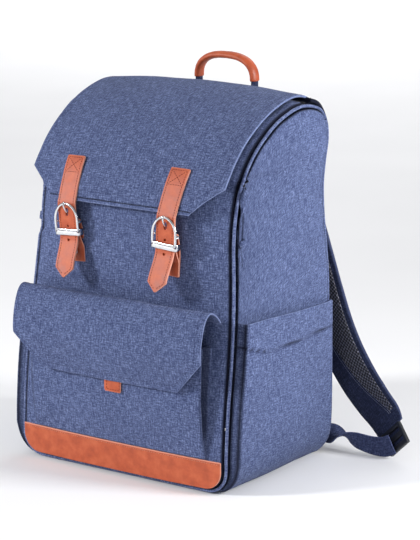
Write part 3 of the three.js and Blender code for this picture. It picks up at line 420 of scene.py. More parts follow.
def tube_mesh(points, wide, high, sides, face=None):
    """Vertices, faces and cloth places of a rod through the points, with an oval section."""
    pts = np.asarray(points, float)
    along = unit(np.gradient(pts, axis=0))
    wide = np.broadcast_to(np.asarray(wide, float), len(pts))
    high = np.broadcast_to(np.asarray(high, float), len(pts))
    ups = []
    up = np.array([0.1, 0.2, 1.0]) if face is None else np.asarray(face, float)
    for t in along:
        base = up if face is None else np.asarray(face, float)
        here = base - t * base.dot(t)
        up = here / max(np.linalg.norm(here), 1e-9)
        ups.append(up)
    ups = np.array(ups)
    aside = np.cross(ups, along)
    angle = np.linspace(0, 2 * np.pi, sides, endpoint=False)
    ring = (aside[:, None] * (np.cos(angle)[None, :, None] * wide[:, None, None])
            + ups[:, None] * (np.sin(angle)[None, :, None] * high[:, None, None]))
    verts = (pts[:, None] + ring).reshape(-1, 3)
    count = len(pts)
    faces = []
    for start in range(0, (count - 1) * sides, sides):
        for k in range(sides):
            m = (k + 1) % sides
            faces.append([start + k, start + m, start + sides + m, start + sides + k])
    faces.append(list(range(sides))[::-1])
    faces.append([(count - 1) * sides + k for k in range(sides)])
    girth = np.pi * (wide.mean() + high.mean())
    around = angle[None] / (2 * np.pi) * girth
    spot = np.stack(np.broadcast_arrays(around, run_along(pts)[:, None], 0.0), -1).reshape(-1, 3)
    return verts, faces, spot * MM


def joined_meshes(parts):
    verts, faces, spots, start = [], [], [], 0
    for v, f, s in parts:
        verts.append(v)
        spots.append(s)
        faces += [[i + start for i in face] for face in f]
        start += len(v)
    return np.vstack(verts), faces, np.vstack(spots)


def tube(name, points, wide, high, sides, material, face=None):
    verts, faces, spots = tube_mesh(points, wide, high, sides, face)
    return keep(name, verts, faces, material, (("weave", "FLOAT_VECTOR", spots),))


def resample(points, step):
    """Even places along a path, about a step apart."""
    pts = np.asarray(points, float)
    run = run_along(pts)
    at = np.linspace(0, run[-1], max(int(run[-1] / step) + 1, 2))
    return np.stack([np.interp(at, run, pts[:, k]) for k in range(3)], -1)


THREAD_SHARE, THREAD_SINK = 0.68, 0.12


def stitches(points, normals, pitch, radius):
    """A row of short thread stitches along a path that lies on a surface."""
    pts, ups = np.asarray(points, float), np.asarray(normals, float)
    run = run_along(pts)
    parts = []
    count = max(int(run[-1] / pitch), 1)
    real = run[-1] / count
    for i in range(count):
        at = (i + 0.5 + np.array([-0.5, -0.25, 0, 0.25, 0.5]) * THREAD_SHARE) * real
        spots = np.stack([np.interp(at, run, pts[:, k]) for k in range(3)], -1)
        up = unit(np.stack([np.interp(at, run, ups[:, k]) for k in range(3)], -1))
        lift = np.array([-0.6, 0.7, 1.0, 0.7, -0.6])[:, None] * radius
        parts.append(tube_mesh(spots + up * (lift - THREAD_SINK), radius, radius * 0.8, 5))
    return parts


def sewn(name, paths, thread, pitch, radius):
    """One piece of thread made of rows of stitches."""
    parts = [part for points, normals in paths for part in stitches(points, normals, pitch, radius)]
    verts, faces, spots = joined_meshes(parts)
    return keep(name, verts, faces, thread, (("weave", "FLOAT_VECTOR", spots),))


def stitch_row(grid, start, end, count):
    """A straight row from one flat place on the cloth, across and along, to another."""
    return trace(grid, *(np.linspace(start[k], end[k], count) for k in (0, 1)))


def hem_groove(edge):
    """The shallow line that a hem's stitches draw in; edge is 1 on the rim and 0 past the hem."""
    return 0.7 * np.exp(-((edge - 0.42) / 0.13) ** 2)


def declare_sheet(piece, grid):
    """Works out the size that a cloth piece's grid has when it is laid flat, and keeps none of it; the piece
    itself is not used.
    """
    flat = lengths(grid)
    long = float(np.linalg.norm(np.diff(grid, axis=0), axis=-1).sum(axis=0).max()) * MM
    down, over = np.diff(grid, axis=0)[:, :-1], np.diff(grid, axis=1)[:-1]


def mirrored(verts):
    return np.asarray(verts) * np.array([-1.0, 1.0, 1.0])


# Materials.
def material(name):
    made = bpy.data.materials.new(name)
    made.use_nodes = True
    nodes, links = made.node_tree.nodes, made.node_tree.links
    shader = nodes["Principled BSDF"]
    return made, nodes, links, shader


def point_value(nodes, name):
    """A value that the mesh keeps for each point."""
    made = nodes.new("ShaderNodeAttribute")
    made.attribute_name = name
    return made.outputs


def object_place(nodes):
    return nodes.new("ShaderNodeTexCoord").outputs["Object"]


def ramp(nodes, links, source, stops):
    made = nodes.new("ShaderNodeValToRGB")
    while len(made.color_ramp.elements) > 1:
        made.color_ramp.elements.remove(made.color_ramp.elements[-1])
    made.color_ramp.elements[0].position = stops[0][0]
    made.color_ramp.elements[0].color = stops[0][1]
    for place, colour in stops[1:]:
        made.color_ramp.elements.new(place).color = colour
    links.new(source, made.inputs["Fac"])
    return made.outputs["Color"]


def math_node(nodes, links, operation, a, b=0.0):
    made = nodes.new("ShaderNodeMath")
    made.operation = operation
    for i, value in enumerate((a, b)):
        if isinstance(value, (int, float)):
            made.inputs[i].default_value = value
        else:
            links.new(value, made.inputs[i])
    return made.outputs[0]


def cloth_place(nodes, links, scale, turn=0.0):
    spot = point_value(nodes, "weave")
    moved = nodes.new("ShaderNodeMapping")
    moved.inputs["Scale"].default_value = scale
    moved.inputs["Rotation"].default_value = (0, 0, turn)
    links.new(spot["Vector"], moved.inputs["Vector"])
    return moved.outputs["Vector"]


def noise_at(nodes, links, vector, scale=1.0, detail=2.0, roughness=0.5):
    made = nodes.new("ShaderNodeTexNoise")
    made.inputs["Scale"].default_value = scale
    made.inputs["Detail"].default_value = detail
    made.inputs["Roughness"].default_value = roughness
    links.new(vector, made.inputs["Vector"])
    return made.outputs["Fac"]


def srgb(r, g, b):
    return tuple(((c / 255) / 12.92 if c / 255 <= 0.04045 else ((c / 255 + 0.055) / 1.055) ** 2.4)
                 for c in (r, g, b)) + (1.0,)


def mixed_colour(nodes, links, factor, a, b, blend="MIX"):
    made = nodes.new("ShaderNodeMix")
    made.data_type = "RGBA"
    made.blend_type = blend
    for socket, value in ((made.inputs[0], factor), (made.inputs[6], a), (made.inputs[7], b)):
        if isinstance(value, (int, float, tuple)):
            socket.default_value = value
        else:
            links.new(value, socket)
    return made.outputs[2]


def bumped(nodes, links, shader, height, distance, strength):
    made = nodes.new("ShaderNodeBump")
    made.inputs["Strength"].default_value = strength
    made.inputs["Distance"].default_value = distance
    links.new(height, made.inputs["Height"])
    links.new(made.outputs["Normal"], shader.inputs["Normal"])


# How dark the painted shade in seams, pleats and folds is, as a share of the dark yarn colour.
SHADE_TONE = 0.22
# How often the warp's streaks, the weft's streaks and the slubs come: per metre across and along.
WARP, WEFT, SLUB = (820, 90, 1), (110, 900, 7), (520, 520, 3)
WEAVE_ROUGH, WEAVE_SHEEN, WEAVE_SPECULAR = 0.92, 0.04, 0.15


def woven(name, dark, middle, light, yarn=1.0, contrast=1.0):
    """A heathered plain weave: streaks of pale and dark yarn both ways, over a fine over-and-under relief."""
    made, nodes, links, shader = material(name)
    warp, weft, slub = (
        noise_at(nodes, links, cloth_place(nodes, links, (x / yarn, y / yarn, layer)), 1.0, 2.0, 0.6)
        for x, y, layer in (WARP, WEFT, SLUB))
    both = math_node(nodes, links, "ADD", math_node(nodes, links, "ADD", warp, weft), slub)
    yarns = math_node(nodes, links, "DIVIDE", both, 3.0)
    spread = 0.12 / contrast
    colour = ramp(nodes, links, yarns, [(0.5 - spread, dark), (0.5, middle), (0.5 + spread, light)])
    cloud = noise_at(nodes, links, cloth_place(nodes, links, (14, 14, 1)), 1.0, 3.0)
    shade = ramp(nodes, links, cloud, [(0.3, (0.90, 0.90, 0.91, 1)), (0.7, (1.06, 1.06, 1.05, 1))])
    colour = mixed_colour(nodes, links, 1.0, colour, shade, "MULTIPLY")
    # Painted highlight: the rims of each sheet are mixed halfway towards the pale yarn colour, as light
    # catching the folded edges.
    rim_highlight = math_node(nodes, links, "MULTIPLY", point_value(nodes, "edge")["Fac"], 0.5)
    colour = mixed_colour(nodes, links, rim_highlight, colour, light)
    # Painted shade: the shade point value mixes the colour towards a deep navy, standing in for the shadow in
    # seams, pleats and folds.
    deep = tuple(c * SHADE_TONE for c in dark[:3]) + (1,)
    colour = mixed_colour(nodes, links, point_value(nodes, "shade")["Fac"], colour, deep)
    links.new(colour, shader.inputs["Base Color"])
    waves = []
    for turn in (0.0, math.pi / 2):
        band = nodes.new("ShaderNodeTexWave")
        band.inputs["Scale"].default_value = 0.32
        band.inputs["Distortion"].default_value = 0.6
        links.new(cloth_place(nodes, links, (900 / yarn, 900 / yarn, 1), turn), band.inputs["Vector"])
        waves.append(band.outputs["Fac"])
    relief = math_node(nodes, links, "MULTIPLY", waves[0], waves[1])
    relief = math_node(nodes, links, "ADD", relief, yarns)
    bumped(nodes, links, shader, relief, 0.0005, 0.7)
    shader.inputs["Roughness"].default_value = WEAVE_ROUGH
    shader.inputs["Sheen Weight"].default_value = WEAVE_SHEEN
    shader.inputs["Sheen Roughness"].default_value = 0.5
    shader.inputs["Specular IOR Level"].default_value = WEAVE_SPECULAR
    return made


def leather(name, dark, middle, light, edge):
    """Smooth dyed leather: fine pebbles, soft clouds of colour and a paler raw edge."""
    made, nodes, links, shader = material(name)
    place = cloth_place(nodes, links, (1, 1, 1))
    cloud = noise_at(nodes, links, place, 60.0, 4.0, 0.6)
    colour = ramp(nodes, links, cloud, [(0.3, dark), (0.5, middle), (0.72, light)])
    colour = mixed_colour(nodes, links, point_value(nodes, "edge")["Fac"], colour, edge)
    links.new(colour, shader.inputs["Base Color"])
    cells = nodes.new("ShaderNodeTexVoronoi")
    cells.feature = "DISTANCE_TO_EDGE"
    cells.inputs["Scale"].default_value = 900.0
    links.new(place, cells.inputs["Vector"])
    pits = noise_at(nodes, links, place, 350.0, 3.0, 0.6)
    pebbles = math_node(nodes, links, "MINIMUM", cells.outputs["Distance"], 0.25)
    relief = math_node(nodes, links, "ADD", pebbles, pits)
    bumped(nodes, links, shader, relief, 0.0003, 0.5)
    gloss = ramp(nodes, links, cloud, [(0.3, (0.42, 0.42, 0.42, 1)), (0.7, (0.56, 0.56, 0.56, 1))])
    links.new(gloss, shader.inputs["Roughness"])
    shader.inputs["Specular IOR Level"].default_value = 0.45
    return made


def plated(name):
    """Bright plated metal with faint smears."""
    made, nodes, links, shader = material(name)
    smear = noise_at(nodes, links, object_place(nodes), 240.0, 3.0)
    shader.inputs["Metallic"].default_value = 1.0
    tone = ramp(nodes, links, smear, [(0.3, (0.60, 0.61, 0.63, 1)), (0.7, (0.78, 0.79, 0.81, 1))])
    links.new(tone, shader.inputs["Base Color"])
    gloss = ramp(nodes, links, smear, [(0.3, (0.14, 0.14, 0.14, 1)), (0.7, (0.27, 0.27, 0.27, 1))])
    links.new(gloss, shader.inputs["Roughness"])
    return made


def spacer_mesh(name):
    """Black three-dimensional knitted mesh: rows of small holes between raised ribs, with a painted highlight
    on the ribs and painted shade in the holes.
    """
    made, nodes, links, shader = material(name)
    place = cloth_place(nodes, links, (1, 0.8, 1), 0.5)
    holes = nodes.new("ShaderNodeTexVoronoi")
    holes.inputs["Scale"].default_value = 330.0
    holes.inputs["Randomness"].default_value = 0.12
    links.new(place, holes.inputs["Vector"])
    # Painted light over the mesh's own black: pale grey on the raised ribs is a painted highlight, and the
    # near-black holes are painted shade.
    colour = ramp(nodes, links, holes.outputs["Distance"], [
        (0.22, srgb(14, 14, 20)), (0.40, srgb(42, 43, 56)), (0.62, srgb(118, 120, 136))])
    links.new(colour, shader.inputs["Base Color"])
    bumped(nodes, links, shader, holes.outputs["Distance"], 0.0016, 1.0)
    shader.inputs["Roughness"].default_value = 0.75
    return made


def moulded(name, colour):
    """Moulded plastic with a fine grain."""
    made, nodes, links, shader = material(name)
    grain = noise_at(nodes, links, object_place(nodes), 1500.0, 2.0)
    tone = ramp(nodes, links, grain, [(0.3, colour), (0.7, tuple(c * 1.5 for c in colour[:3]) + (1,))])
    links.new(tone, shader.inputs["Base Color"])
    bumped(nodes, links, shader, grain, 0.0001, 0.4)
    shader.inputs["Roughness"].default_value = 0.38
    return made


HEATHER = woven("heather_fabric", srgb(38, 46, 84), srgb(79, 91, 129), srgb(134, 148, 190), contrast=0.85)
BINDING = woven("heather_binding", srgb(52, 62, 102), srgb(92, 104, 144), srgb(142, 156, 196))
NAVY = woven("navy_fabric", srgb(26, 31, 54), srgb(42, 49, 76), srgb(66, 74, 106), yarn=1.1)
WEBBING_CLOTH = woven("webbing_fabric", srgb(36, 42, 70), srgb(57, 65, 98), srgb(84, 93, 130), yarn=1.3)
LEATHER = leather("tan_leather", srgb(156, 66, 34), srgb(178, 80, 44), srgb(194, 98, 60), srgb(214, 146, 124))
PALE_THREAD = woven("pale_thread", srgb(190, 122, 96), srgb(214, 148, 122), srgb(232, 176, 150), yarn=0.4)
DARK_THREAD = woven("dark_thread", srgb(78, 26, 24), srgb(102, 38, 32), srgb(128, 54, 42), yarn=0.4)
BLUE_THREAD = woven("blue_thread", srgb(34, 40, 78), srgb(50, 58, 98), srgb(74, 84, 124), yarn=0.4)
NAVY_THREAD = woven("navy_thread", srgb(104, 110, 136), srgb(128, 134, 160), srgb(150, 156, 180), yarn=0.4)
METAL = plated("silver_metal")
MESH = spacer_mesh("black_mesh")
PLASTIC = moulded("black_plastic", (0.010, 0.011, 0.015, 1))
ZIP = woven("zip_tape", srgb(12, 12, 16), srgb(24, 24, 30), srgb(44, 44, 52))


# The body's walls.
def near_edges(u, v, wide, tall, reach):
    """How near each grid point is to the panel's edge: 1 on it, 0 past the reach."""
    away = np.minimum(np.minimum(u, 1 - u) * wide, np.minimum(v, 1 - v) * tall)
    return np.clip(1 - away / reach, 0, 1)


def spaced(count, edge=0.012):
    """Shares from 0 to 1 with two close lines at each end."""
    middle = np.linspace(edge * 2.4, 1 - edge * 2.4, count)
    return np.concatenate([[0, edge * 0.35, edge], middle, [1 - edge, 1 - edge * 0.35, 1]])


PANEL_T, EDGE_REACH, ROLL_REACH, ROLL_DEPTH = 4.6, 16.0, 4.5, 1.6
RIPPLE_LENGTH, RIPPLE_HEIGHT = 6.5, 1.32
COVER_FADE, MOVE_FREE, MOVE_COVERED = 40.0, 2.6, 0.1


def wall_panel(name, place, us, vs, wide, tall, seed, covered, relief=None):
    """A padded panel of the body, its cloth calm below the height that other pieces cover, with painted shade
    along its rolled edges.
    """
    u, v = np.meshgrid(us, vs)
    points = place(u, v)
    normal = grid_normals(points)
    if relief is not None:
        points = points + normal * relief(u, v, points)[..., None]
    near = near_edges(u, v, wide, tall, EDGE_REACH)
    cloth = lengths(points)
    soft = soft_waves(points, seed, (95, 1.3), (48, 0.5))
    beside = np.minimum(u, 1 - u) * wide < np.minimum(v, 1 - v) * tall
    along_edge = np.where(beside, cloth[..., 1], cloth[..., 0])
    swing = np.sin(along_edge / RIPPLE_LENGTH + wave(points, 30, seed + 2) * 3)
    ripple = swing * near ** 2 * (1 - near) * RIPPLE_HEIGHT
    free = np.clip((points[..., 2] - covered) / COVER_FADE, 0, 1)
    points = points + normal * ((soft * (1 - near) + ripple) * mix(0.15, 1, free))[..., None]
    points = relaxed(points, near > 0.75, mix(MOVE_COVERED, MOVE_FREE, free))
    roll = near_edges(u, v, wide, tall, ROLL_REACH)
    points = points - grid_normals(points) * (roll ** 2 * ROLL_DEPTH)[..., None]
    # Painted shade: the last few millimetres of the rolled edges are darkened, standing in for the shadow in
    # the seams beside the piping.
    seam = np.clip((roll - 0.42) / 0.25, 0, 1)
    return closed_sheet(name, points, PANEL_T, HEATHER, rim=0.1, shade=seam)


def front_place(foot_share, end_share):
    """Places on the front or back wall between two shares of the outline."""
    def place(u, v):
        share = mix(foot_share, end_share, v)
        half = half_width(line(share)[1], SEAM - 0.4) - pinch_at(share)[0]
        return on_wall(share, mix(-half, half, u), 0.0)
    return place


ZIP_MIDDLE, ZIP_HALF = (0.655 - 0.5) * 2 * BODY_D, 7.0
UPPER = (SHARES > 0.25) & (SHARES < 0.5)
ZIP_SHARES = [np.interp(ZIP_MIDDLE + d, LINE[UPPER, 0], SHARES[UPPER]) for d in (-ZIP_HALF, ZIP_HALF)]
FOOT_FRONT, FOOT_BACK = share_at(SEAM), share_at(SEAM, True)


def corner_rows(count):
    """Rows that crowd into the rounded lower corners."""
    return np.concatenate([np.linspace(0, 0.05, 12)[:-1], np.linspace(0.05, 1, count)])


def front_relief(u, v, points):
    """The groove along the pocket flap's seam."""
    seam = np.abs(points[..., 2] - (PFLAP_SEAM + 3))
    return -1.0 * np.clip(1 - seam / 2.2, 0, 1) * (points[..., 1] < -60)


front = wall_panel("body_front", front_place(FOOT_FRONT, ZIP_SHARES[0]), spaced(66), corner_rows(140),
                   300, 560, 11, PFLAP_SEAM, front_relief)
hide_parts("front_panel")
back = wall_panel("body_back", front_place(FOOT_BACK, ZIP_SHARES[1]), spaced(60), corner_rows(100),
                  300, 470, 23, 0)
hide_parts("back_panel")

CORNER_FRONT, CORNER_BACK = share_at(CORNER), share_at(CORNER, True)
SHOULDER_SHARE, CREST_SHARE = share_at(BODY_H * 0.8), share_at(BODY_H * 0.955, True)
FOOT_ROWS = 5 / 14


def corner_edge(run, is_back):
    height = CORNER * (1 - np.sin((CORNER_RUN - run) / CORNER))
    return edge_at(share_at(height, is_back))[0], run


def side_patch(u, v):
    """Places on the side's cloth that meet the front, top and back along one smooth edge."""
    climb = np.clip((v - FOOT_ROWS) / (1 - FOOT_ROWS), 0, 1)
    low = np.clip(v / FOOT_ROWS, 0, 1) * CORNER_RUN
    ends = {}
    for is_back, corner, top in ((False, CORNER_FRONT, SHOULDER_SHARE), (True, CORNER_BACK, CREST_SHARE)):
        upper = edge_at(mix(corner, top, climb))
        lower = corner_edge(low, is_back)
        ends[is_back] = [np.where(v < FOOT_ROWS, lower[k], upper[k]) for k in (0, 1)]
    crest = edge_at(mix(SHOULDER_SHARE, CREST_SHARE, u))
    first = [edge_at(CORNER_FRONT), edge_at(CORNER_BACK)]
    last = [edge_at(SHOULDER_SHARE), edge_at(CREST_SHARE)]
    out = []
    for k in (0, 1):
        sides = mix(ends[False][k], ends[True][k], u)
        lower, upper = mix(first[0][k], first[1][k], u), mix(last[0][k], last[1][k], u)
        bent = sides + mix(lower, crest[k], climb) - mix(lower, upper, climb)
        out.append(np.where(v < FOOT_ROWS, sides, bent))
    return out


def side_place(u, v):
    y, run = side_patch(u, v)
    return on_side(y, np.maximum(run, GAP), bulge_at(y, run))


def copy_mirrored(thing, name):
    """The other side's piece: a mirror image across the bag's middle."""
    data = thing.data.copy()
    data.transform(Matrix.Scale(-1, 4, (1, 0, 0)))
    data.flip_normals()
    twin = linked(bpy.data.objects.new(name, data))
    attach(twin, "root")
    return twin


def pair(thing, name, node_name, slot):
    """Names a right piece and its mirrored twin, and hides the nodes that they stand for."""
    thing.name = f"{name}_right"
    twin = copy_mirrored(thing, f"{name}_left")
    for piece, side in ((thing, "right"), (twin, "left")):
        if node_name:
            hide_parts(f"{node_name}_{side}")
    return thing, twin


side_rows = np.concatenate([np.linspace(0, FOOT_ROWS, 15)[:-1], np.linspace(FOOT_ROWS, 1, 92)])
side = wall_panel("body_side", side_place, spaced(48), side_rows, 200, 430, 37, SIDE_POCKET_TOP)
for piece in pair(side, "body_side", "side_panel", "heather_fabric"):
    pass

# The base, a padded board with soft edges.
base_low, base_high = (np.array(c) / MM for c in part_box("base_panel"))


def base_place(u, v):
    x, y = mix(base_low[0], base_high[0], u), mix(base_low[1], base_high[1], v)
    return np.stack([x, y, np.zeros(x.shape)], -1)


u, v = np.meshgrid(spaced(30), spaced(24))
points = base_place(u, v)
points[..., 2] += near_edges(u, v, 250, 190, 5) ** 2 * 1.5
points = points[:, ::-1]
base = closed_sheet("body_base", points, 5.5, HEATHER, rim=0.1)
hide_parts("base_panel")

# The zip.
u, v = np.meshgrid(np.linspace(0, 1, 40), np.linspace(0, 1, 7))
points = on_body(mix(ZIP_SHARES[0] + 0.0003, ZIP_SHARES[1] - 0.0003, v), mix(-149, 149, u), -2.2)
zip_tape = closed_sheet("zip_tape", points, 1.0, ZIP, rim=0.1)
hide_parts("main_zip")
parts = []
for row in (0.43, 0.57):
    for x in np.arange(-148, 148, 1.6):
        middle = on_body(mix(*ZIP_SHARES, row), x, -1.2)
        tooth = middle + np.array([(-0.4, -0.9, 0), (0, 0, 0.35), (0.4, 0.9, 0)])
        parts.append(tube_mesh(tooth, 0.5, 0.5, 4))
verts, faces, spots = joined_meshes(parts)
keep("zip_teeth", verts, faces, PLASTIC, (("weave", "FLOAT_VECTOR", spots),))


# The piping.
def piping_route():
    inset = WALL / 2
    shares = np.linspace(CORNER_BACK, CORNER_FRONT, 260)
    y, z, ny, nz = line(shares)
    aside, back = pinch_at(shares)
    side = np.stack([BODY_W / 2 - inset - aside, y - ny * (inset + back), z - nz * (inset + back)], -1)
    angle = np.linspace(0, np.pi / 2, 16)[1:]
    reach = CORNER - inset
    height = CORNER - reach * np.sin(angle)
    y, z, ny, nz = line(share_at(height))
    corner = np.stack([BODY_W / 2 - CORNER + reach * np.cos(angle), y - ny * inset, height], -1)
    half = np.vstack([side, corner])
    across = np.linspace(half[-1], mirrored(half[-1]), 60)[1:-1]
    return np.vstack([half, across, mirrored(half)[::-1]])


route = piping_route()
cord_r = PIPING_R - 0.5
piping = tube("piping_cord", resample(route, 3.0), cord_r, cord_r, 12, BINDING)
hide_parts("piping")


# The lid flap.
FLAP_START, FLAP_END = share_at(BODY_H * 0.965, True), share_at(FLAP_HEM)


def on_flap(run, x, out):
    stand = GAP + table(FLAP_STAND, run) * FLAP_LIFT
    return on_body(mix(FLAP_START, FLAP_END, run), x, stand + out)


def smooth_stand(run):
    """How far the lid stands off the body along its run, as a share of its greatest."""
    shares = np.linspace(0, 1, len(FLAP_STAND))
    return catmull(FLAP_STAND, np.interp(run, [r[0] for r in FLAP_STAND], shares))[..., 1]


RUNS = np.linspace(0.4, 1, 2001)
RUN_HEIGHTS = on_flap(RUNS, np.zeros(RUNS.shape), 0.0)[..., 2]


def flap_run_at(height):
    return np.interp(-height, -RUN_HEIGHTS, RUNS)


CHAMFER_RUN = float(flap_run_at(RUN_HEIGHTS[-1] + FLAP_CHAMFER_DROP))


def flap_half(run):
    return FLAP_W / 2 - FLAP_CHAMFER_W * np.clip((run - CHAMFER_RUN) / (1 - CHAMFER_RUN), 0, None)


FLAP_LENGTH = float(run_along(on_flap(np.linspace(0, 1, 400), np.zeros(400), 0.0))[-1])


def flap_surface(run, x, out):
    """The lid cloth's outer face, with its soft waves, which die out towards the hem and the side edges."""
    run, x = np.broadcast_arrays(np.asarray(run, float), np.asarray(x, float))
    spot = np.stack([x, run * FLAP_LENGTH, np.zeros(x.shape)], -1)
    calm = np.clip((1 - run) / 0.08, 0, 1) * np.clip((flap_half(run) - np.abs(x)) / 20, 0.35, 1)
    soft = soft_waves(spot, 51, ((95, 70, 50), 1.3), ((38, 46, 50), 0.55)) * calm
    stand = GAP + smooth_stand(run) * FLAP_LIFT + FLAP_T
    return on_body(mix(FLAP_START, FLAP_END, run), x, stand + soft + out)


flap_rows = np.concatenate([[0, 0.002], np.linspace(0.006, CHAMFER_RUN, 110),
                            np.linspace(CHAMFER_RUN, 1, 16)[1:-1], [0.988, 0.994, 0.998, 1.0]])
u, v = np.meshgrid(spaced(64, 0.01), flap_rows)
points = flap_surface(v, mix(-1, 1, u) * flap_half(v), 0.0)
points = facing(points, (0, -1, 1))
edge = near_edges(u, v, FLAP_W, FLAP_LENGTH, 10)
points = points - grid_normals(points) * (hem_groove(edge) + 0.9 * np.clip(edge - 0.75, 0, 1))[..., None]
lid = closed_sheet("lid_cloth", points, FLAP_T, HEATHER, rim=0.45)
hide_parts("lid_flap")
declare_sheet(lid, points)
HEM_IN = 5.8
corner_along, hem_along = FLAP_LENGTH * CHAMFER_RUN, FLAP_LENGTH - HEM_IN
hem_half = FLAP_W / 2 - FLAP_CHAMFER_W - 2
side_along = np.arange(8, corner_along, 6)
paths = [trace(points, side * (FLAP_W / 2 - HEM_IN), side_along) for side in (-1, 1)]
for side in (1, -1):
    chamfer_top = (side * (FLAP_W / 2 - HEM_IN * 0.9), corner_along)
    paths.append(stitch_row(points, chamfer_top, (side * hem_half, hem_along), 12))
paths.append(stitch_row(points, (-hem_half, hem_along), (hem_half, hem_along), 40))
sewn("lid_stitches", paths, BLUE_THREAD, 3.6, 0.3)

# The leather panel at the foot.
trim_heights = np.concatenate([SEAM + 1 + (CORNER - SEAM - 1) * np.linspace(0, 1, 16)[:-1] ** 1.6,
                               np.linspace(CORNER, TRIM_H, 8)])
u, height = np.meshgrid(spaced(80, 0.006), trim_heights)
half = half_width(height, SEAM + 1)
trim_points = front_at(height, mix(-half, half, u), GAP + LEATHER_T)
trim_points += grid_normals(trim_points) * (wave(trim_points, 60, 61) * 0.35)[..., None]
trim_points = facing(trim_points, (0, -1, 0))
trim = closed_sheet("trim_leather", trim_points, LEATHER_T, LEATHER, rim=0.25, edge_soft=0.5)
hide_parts("base_trim")
declare_sheet(trim, trim_points)
trim_long = lengths(trim_points)[-1, 0, 1]
trim_row = stitch_row(trim_points, (-144, trim_long - 2.4), (144, trim_long - 2.4), 90)
sewn("trim_stitches", [trim_row], PALE_THREAD, 3.4, 0.42)


# The front pocket.
POCKET_FOOT = TRIM_H + LEATHER_T


def pocket_out(height):
    rise = (height - POCKET_FOOT) / (POCKET_TOP - POCKET_FOOT)
    return np.maximum(table(POCKET_SECTIONS, rise) * POCKET_D, CLOTH_T)


# The pocket's pleated side: the share of the way out, and how far the fold goes in.
POCKET_PLEAT = [(0.0, 0.0), (0.10, 2.0), (0.30, 6.5), (0.46, 9.0),
                (0.56, 9.0), (0.76, 4.5), (0.93, 0.8), (1.0, 0.0)]


def pocket_grid(levels, count=60):
    """The pocket's cloth level by level: a pleated side, the face and the other side."""
    face = np.linspace(-1, 1, count)
    rows = []
    for height in levels:
        out = float(pocket_out(height))
        depth = np.clip((out - 6) / 11, 0, 1)
        row = []
        half = POCKET_W / 2
        for share, fold in POCKET_PLEAT:
            row.append((-(half - fold * depth), share * out + GAP))
        for share in face[1:-1]:
            row.append((half * share, out + GAP))
        for share, fold in POCKET_PLEAT[::-1]:
            row.append((half - fold * depth, share * out + GAP))
        x, outs = np.array(row).T
        wall_share = share_at(np.full(x.shape, height))
        fade = np.clip(1 - (outs - GAP) / max(out, 1e-6), 0, 1)
        on_front = on_body(wall_share, x, outs)
        anchored = on_wall(wall_share, x, outs)
        rows.append(mix(on_front, anchored, fade[:, None]))
    return np.array(rows)


pocket_levels = np.concatenate([[POCKET_FOOT, POCKET_FOOT + 0.6],
                                np.linspace(POCKET_FOOT + 2, POCKET_TOP - 2, 44),
                                [POCKET_TOP - 0.6, POCKET_TOP]])
points = facing(pocket_grid(pocket_levels), (0, -1, 0))
normal = grid_normals(points)
cols = points.shape[1]
face_share = np.clip(np.minimum(np.arange(cols) - 7, cols - 8 - np.arange(cols)) / 8, 0, 1)[None]
rise = ((pocket_levels - POCKET_FOOT) / (POCKET_TOP - POCKET_FOOT))[:, None]
soft = soft_waves(points, 71, ((75, 60, 60), 1.7), ((34, 30, 30), 0.6))
points = points + normal * (soft * face_share * np.clip(rise * 6, 0, 1))[..., None]
# Painted shade in the pocket's pleated sides, darkest where the fold goes deepest, standing in for the shadow
# inside the pleats.
place = np.minimum(np.arange(cols), cols - 1 - np.arange(cols))[None]
pleat_shade = np.interp(place, [0, 1, 4, 6, 7, 8], [0.3, 0.75, 1.0, 0.7, 0.25, 0]) * np.clip(rise * 4, 0, 1)
pocket = closed_sheet("pocket_cloth", points, 1.6, HEATHER, rim=0.3, shade=pleat_shade)
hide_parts("front_pocket")
declare_sheet(pocket, points)

# The pocket flap.
PF = catmull(PFLAP_SECTIONS, np.linspace(0, 1, 801))


def pflap_rows(count):
    """Rows of the flap's section, from its seam over its bow to its hem."""
    run = run_along(PF * (PFLAP_DROP, PFLAP_REACH))
    shoulder = 1 - PFLAP_SHOULDER / PFLAP_DROP
    at_shoulder = np.interp(shoulder, PF[300:, 0], run[300:])
    at = np.concatenate([np.linspace(0, at_shoulder, count),
                         np.linspace(at_shoulder, run[-1], count // 3)[1:-1], [run[-1] - 0.8, run[-1]]])
    return np.stack([np.interp(at, run, PF[:, 0]), np.interp(at, run, PF[:, 1])], -1)


def pflap_points(us, rows):
    drop, reach = rows[:, 0][:, None], rows[:, 1][:, None]
    shoulder = 1 - PFLAP_SHOULDER / PFLAP_DROP
    half = PFLAP_W / 2 - PFLAP_CHAMFER_W * np.clip((drop - shoulder) / (1 - shoulder), 0, None)
    x = mix(-half, half, us[None, :])
    wall = front_at(np.full(x.shape, PFLAP_SEAM), x, 0.0)[..., 1]
    height = np.broadcast_to(PFLAP_SEAM - drop * PFLAP_DROP, x.shape)
    return np.stack([x, wall - reach * PFLAP_REACH, height], -1)


pf_rows = pflap_rows(56)
pf_us = spaced(64, 0.01)
points = facing(pflap_points(pf_us, pf_rows), (0, -1, 0))
u, v = np.meshgrid(pf_us, np.linspace(0, 1, len(pf_rows)))
flat = lengths(points)
PFLAP_LENGTH = float(flat[-1, 0, 1])
edge = np.clip(1 - np.minimum(np.minimum(u, 1 - u) * PFLAP_W, PFLAP_LENGTH - flat[..., 1]) / 10, 0, 1)
spot = np.stack([points[..., 0], flat[..., 1], np.zeros(u.shape)], -1)
soft = soft_waves(spot, 81, ((90, 60, 50), 1.8), ((36, 30, 30), 0.6)) * np.clip(flat[..., 1] / 30, 0, 1)
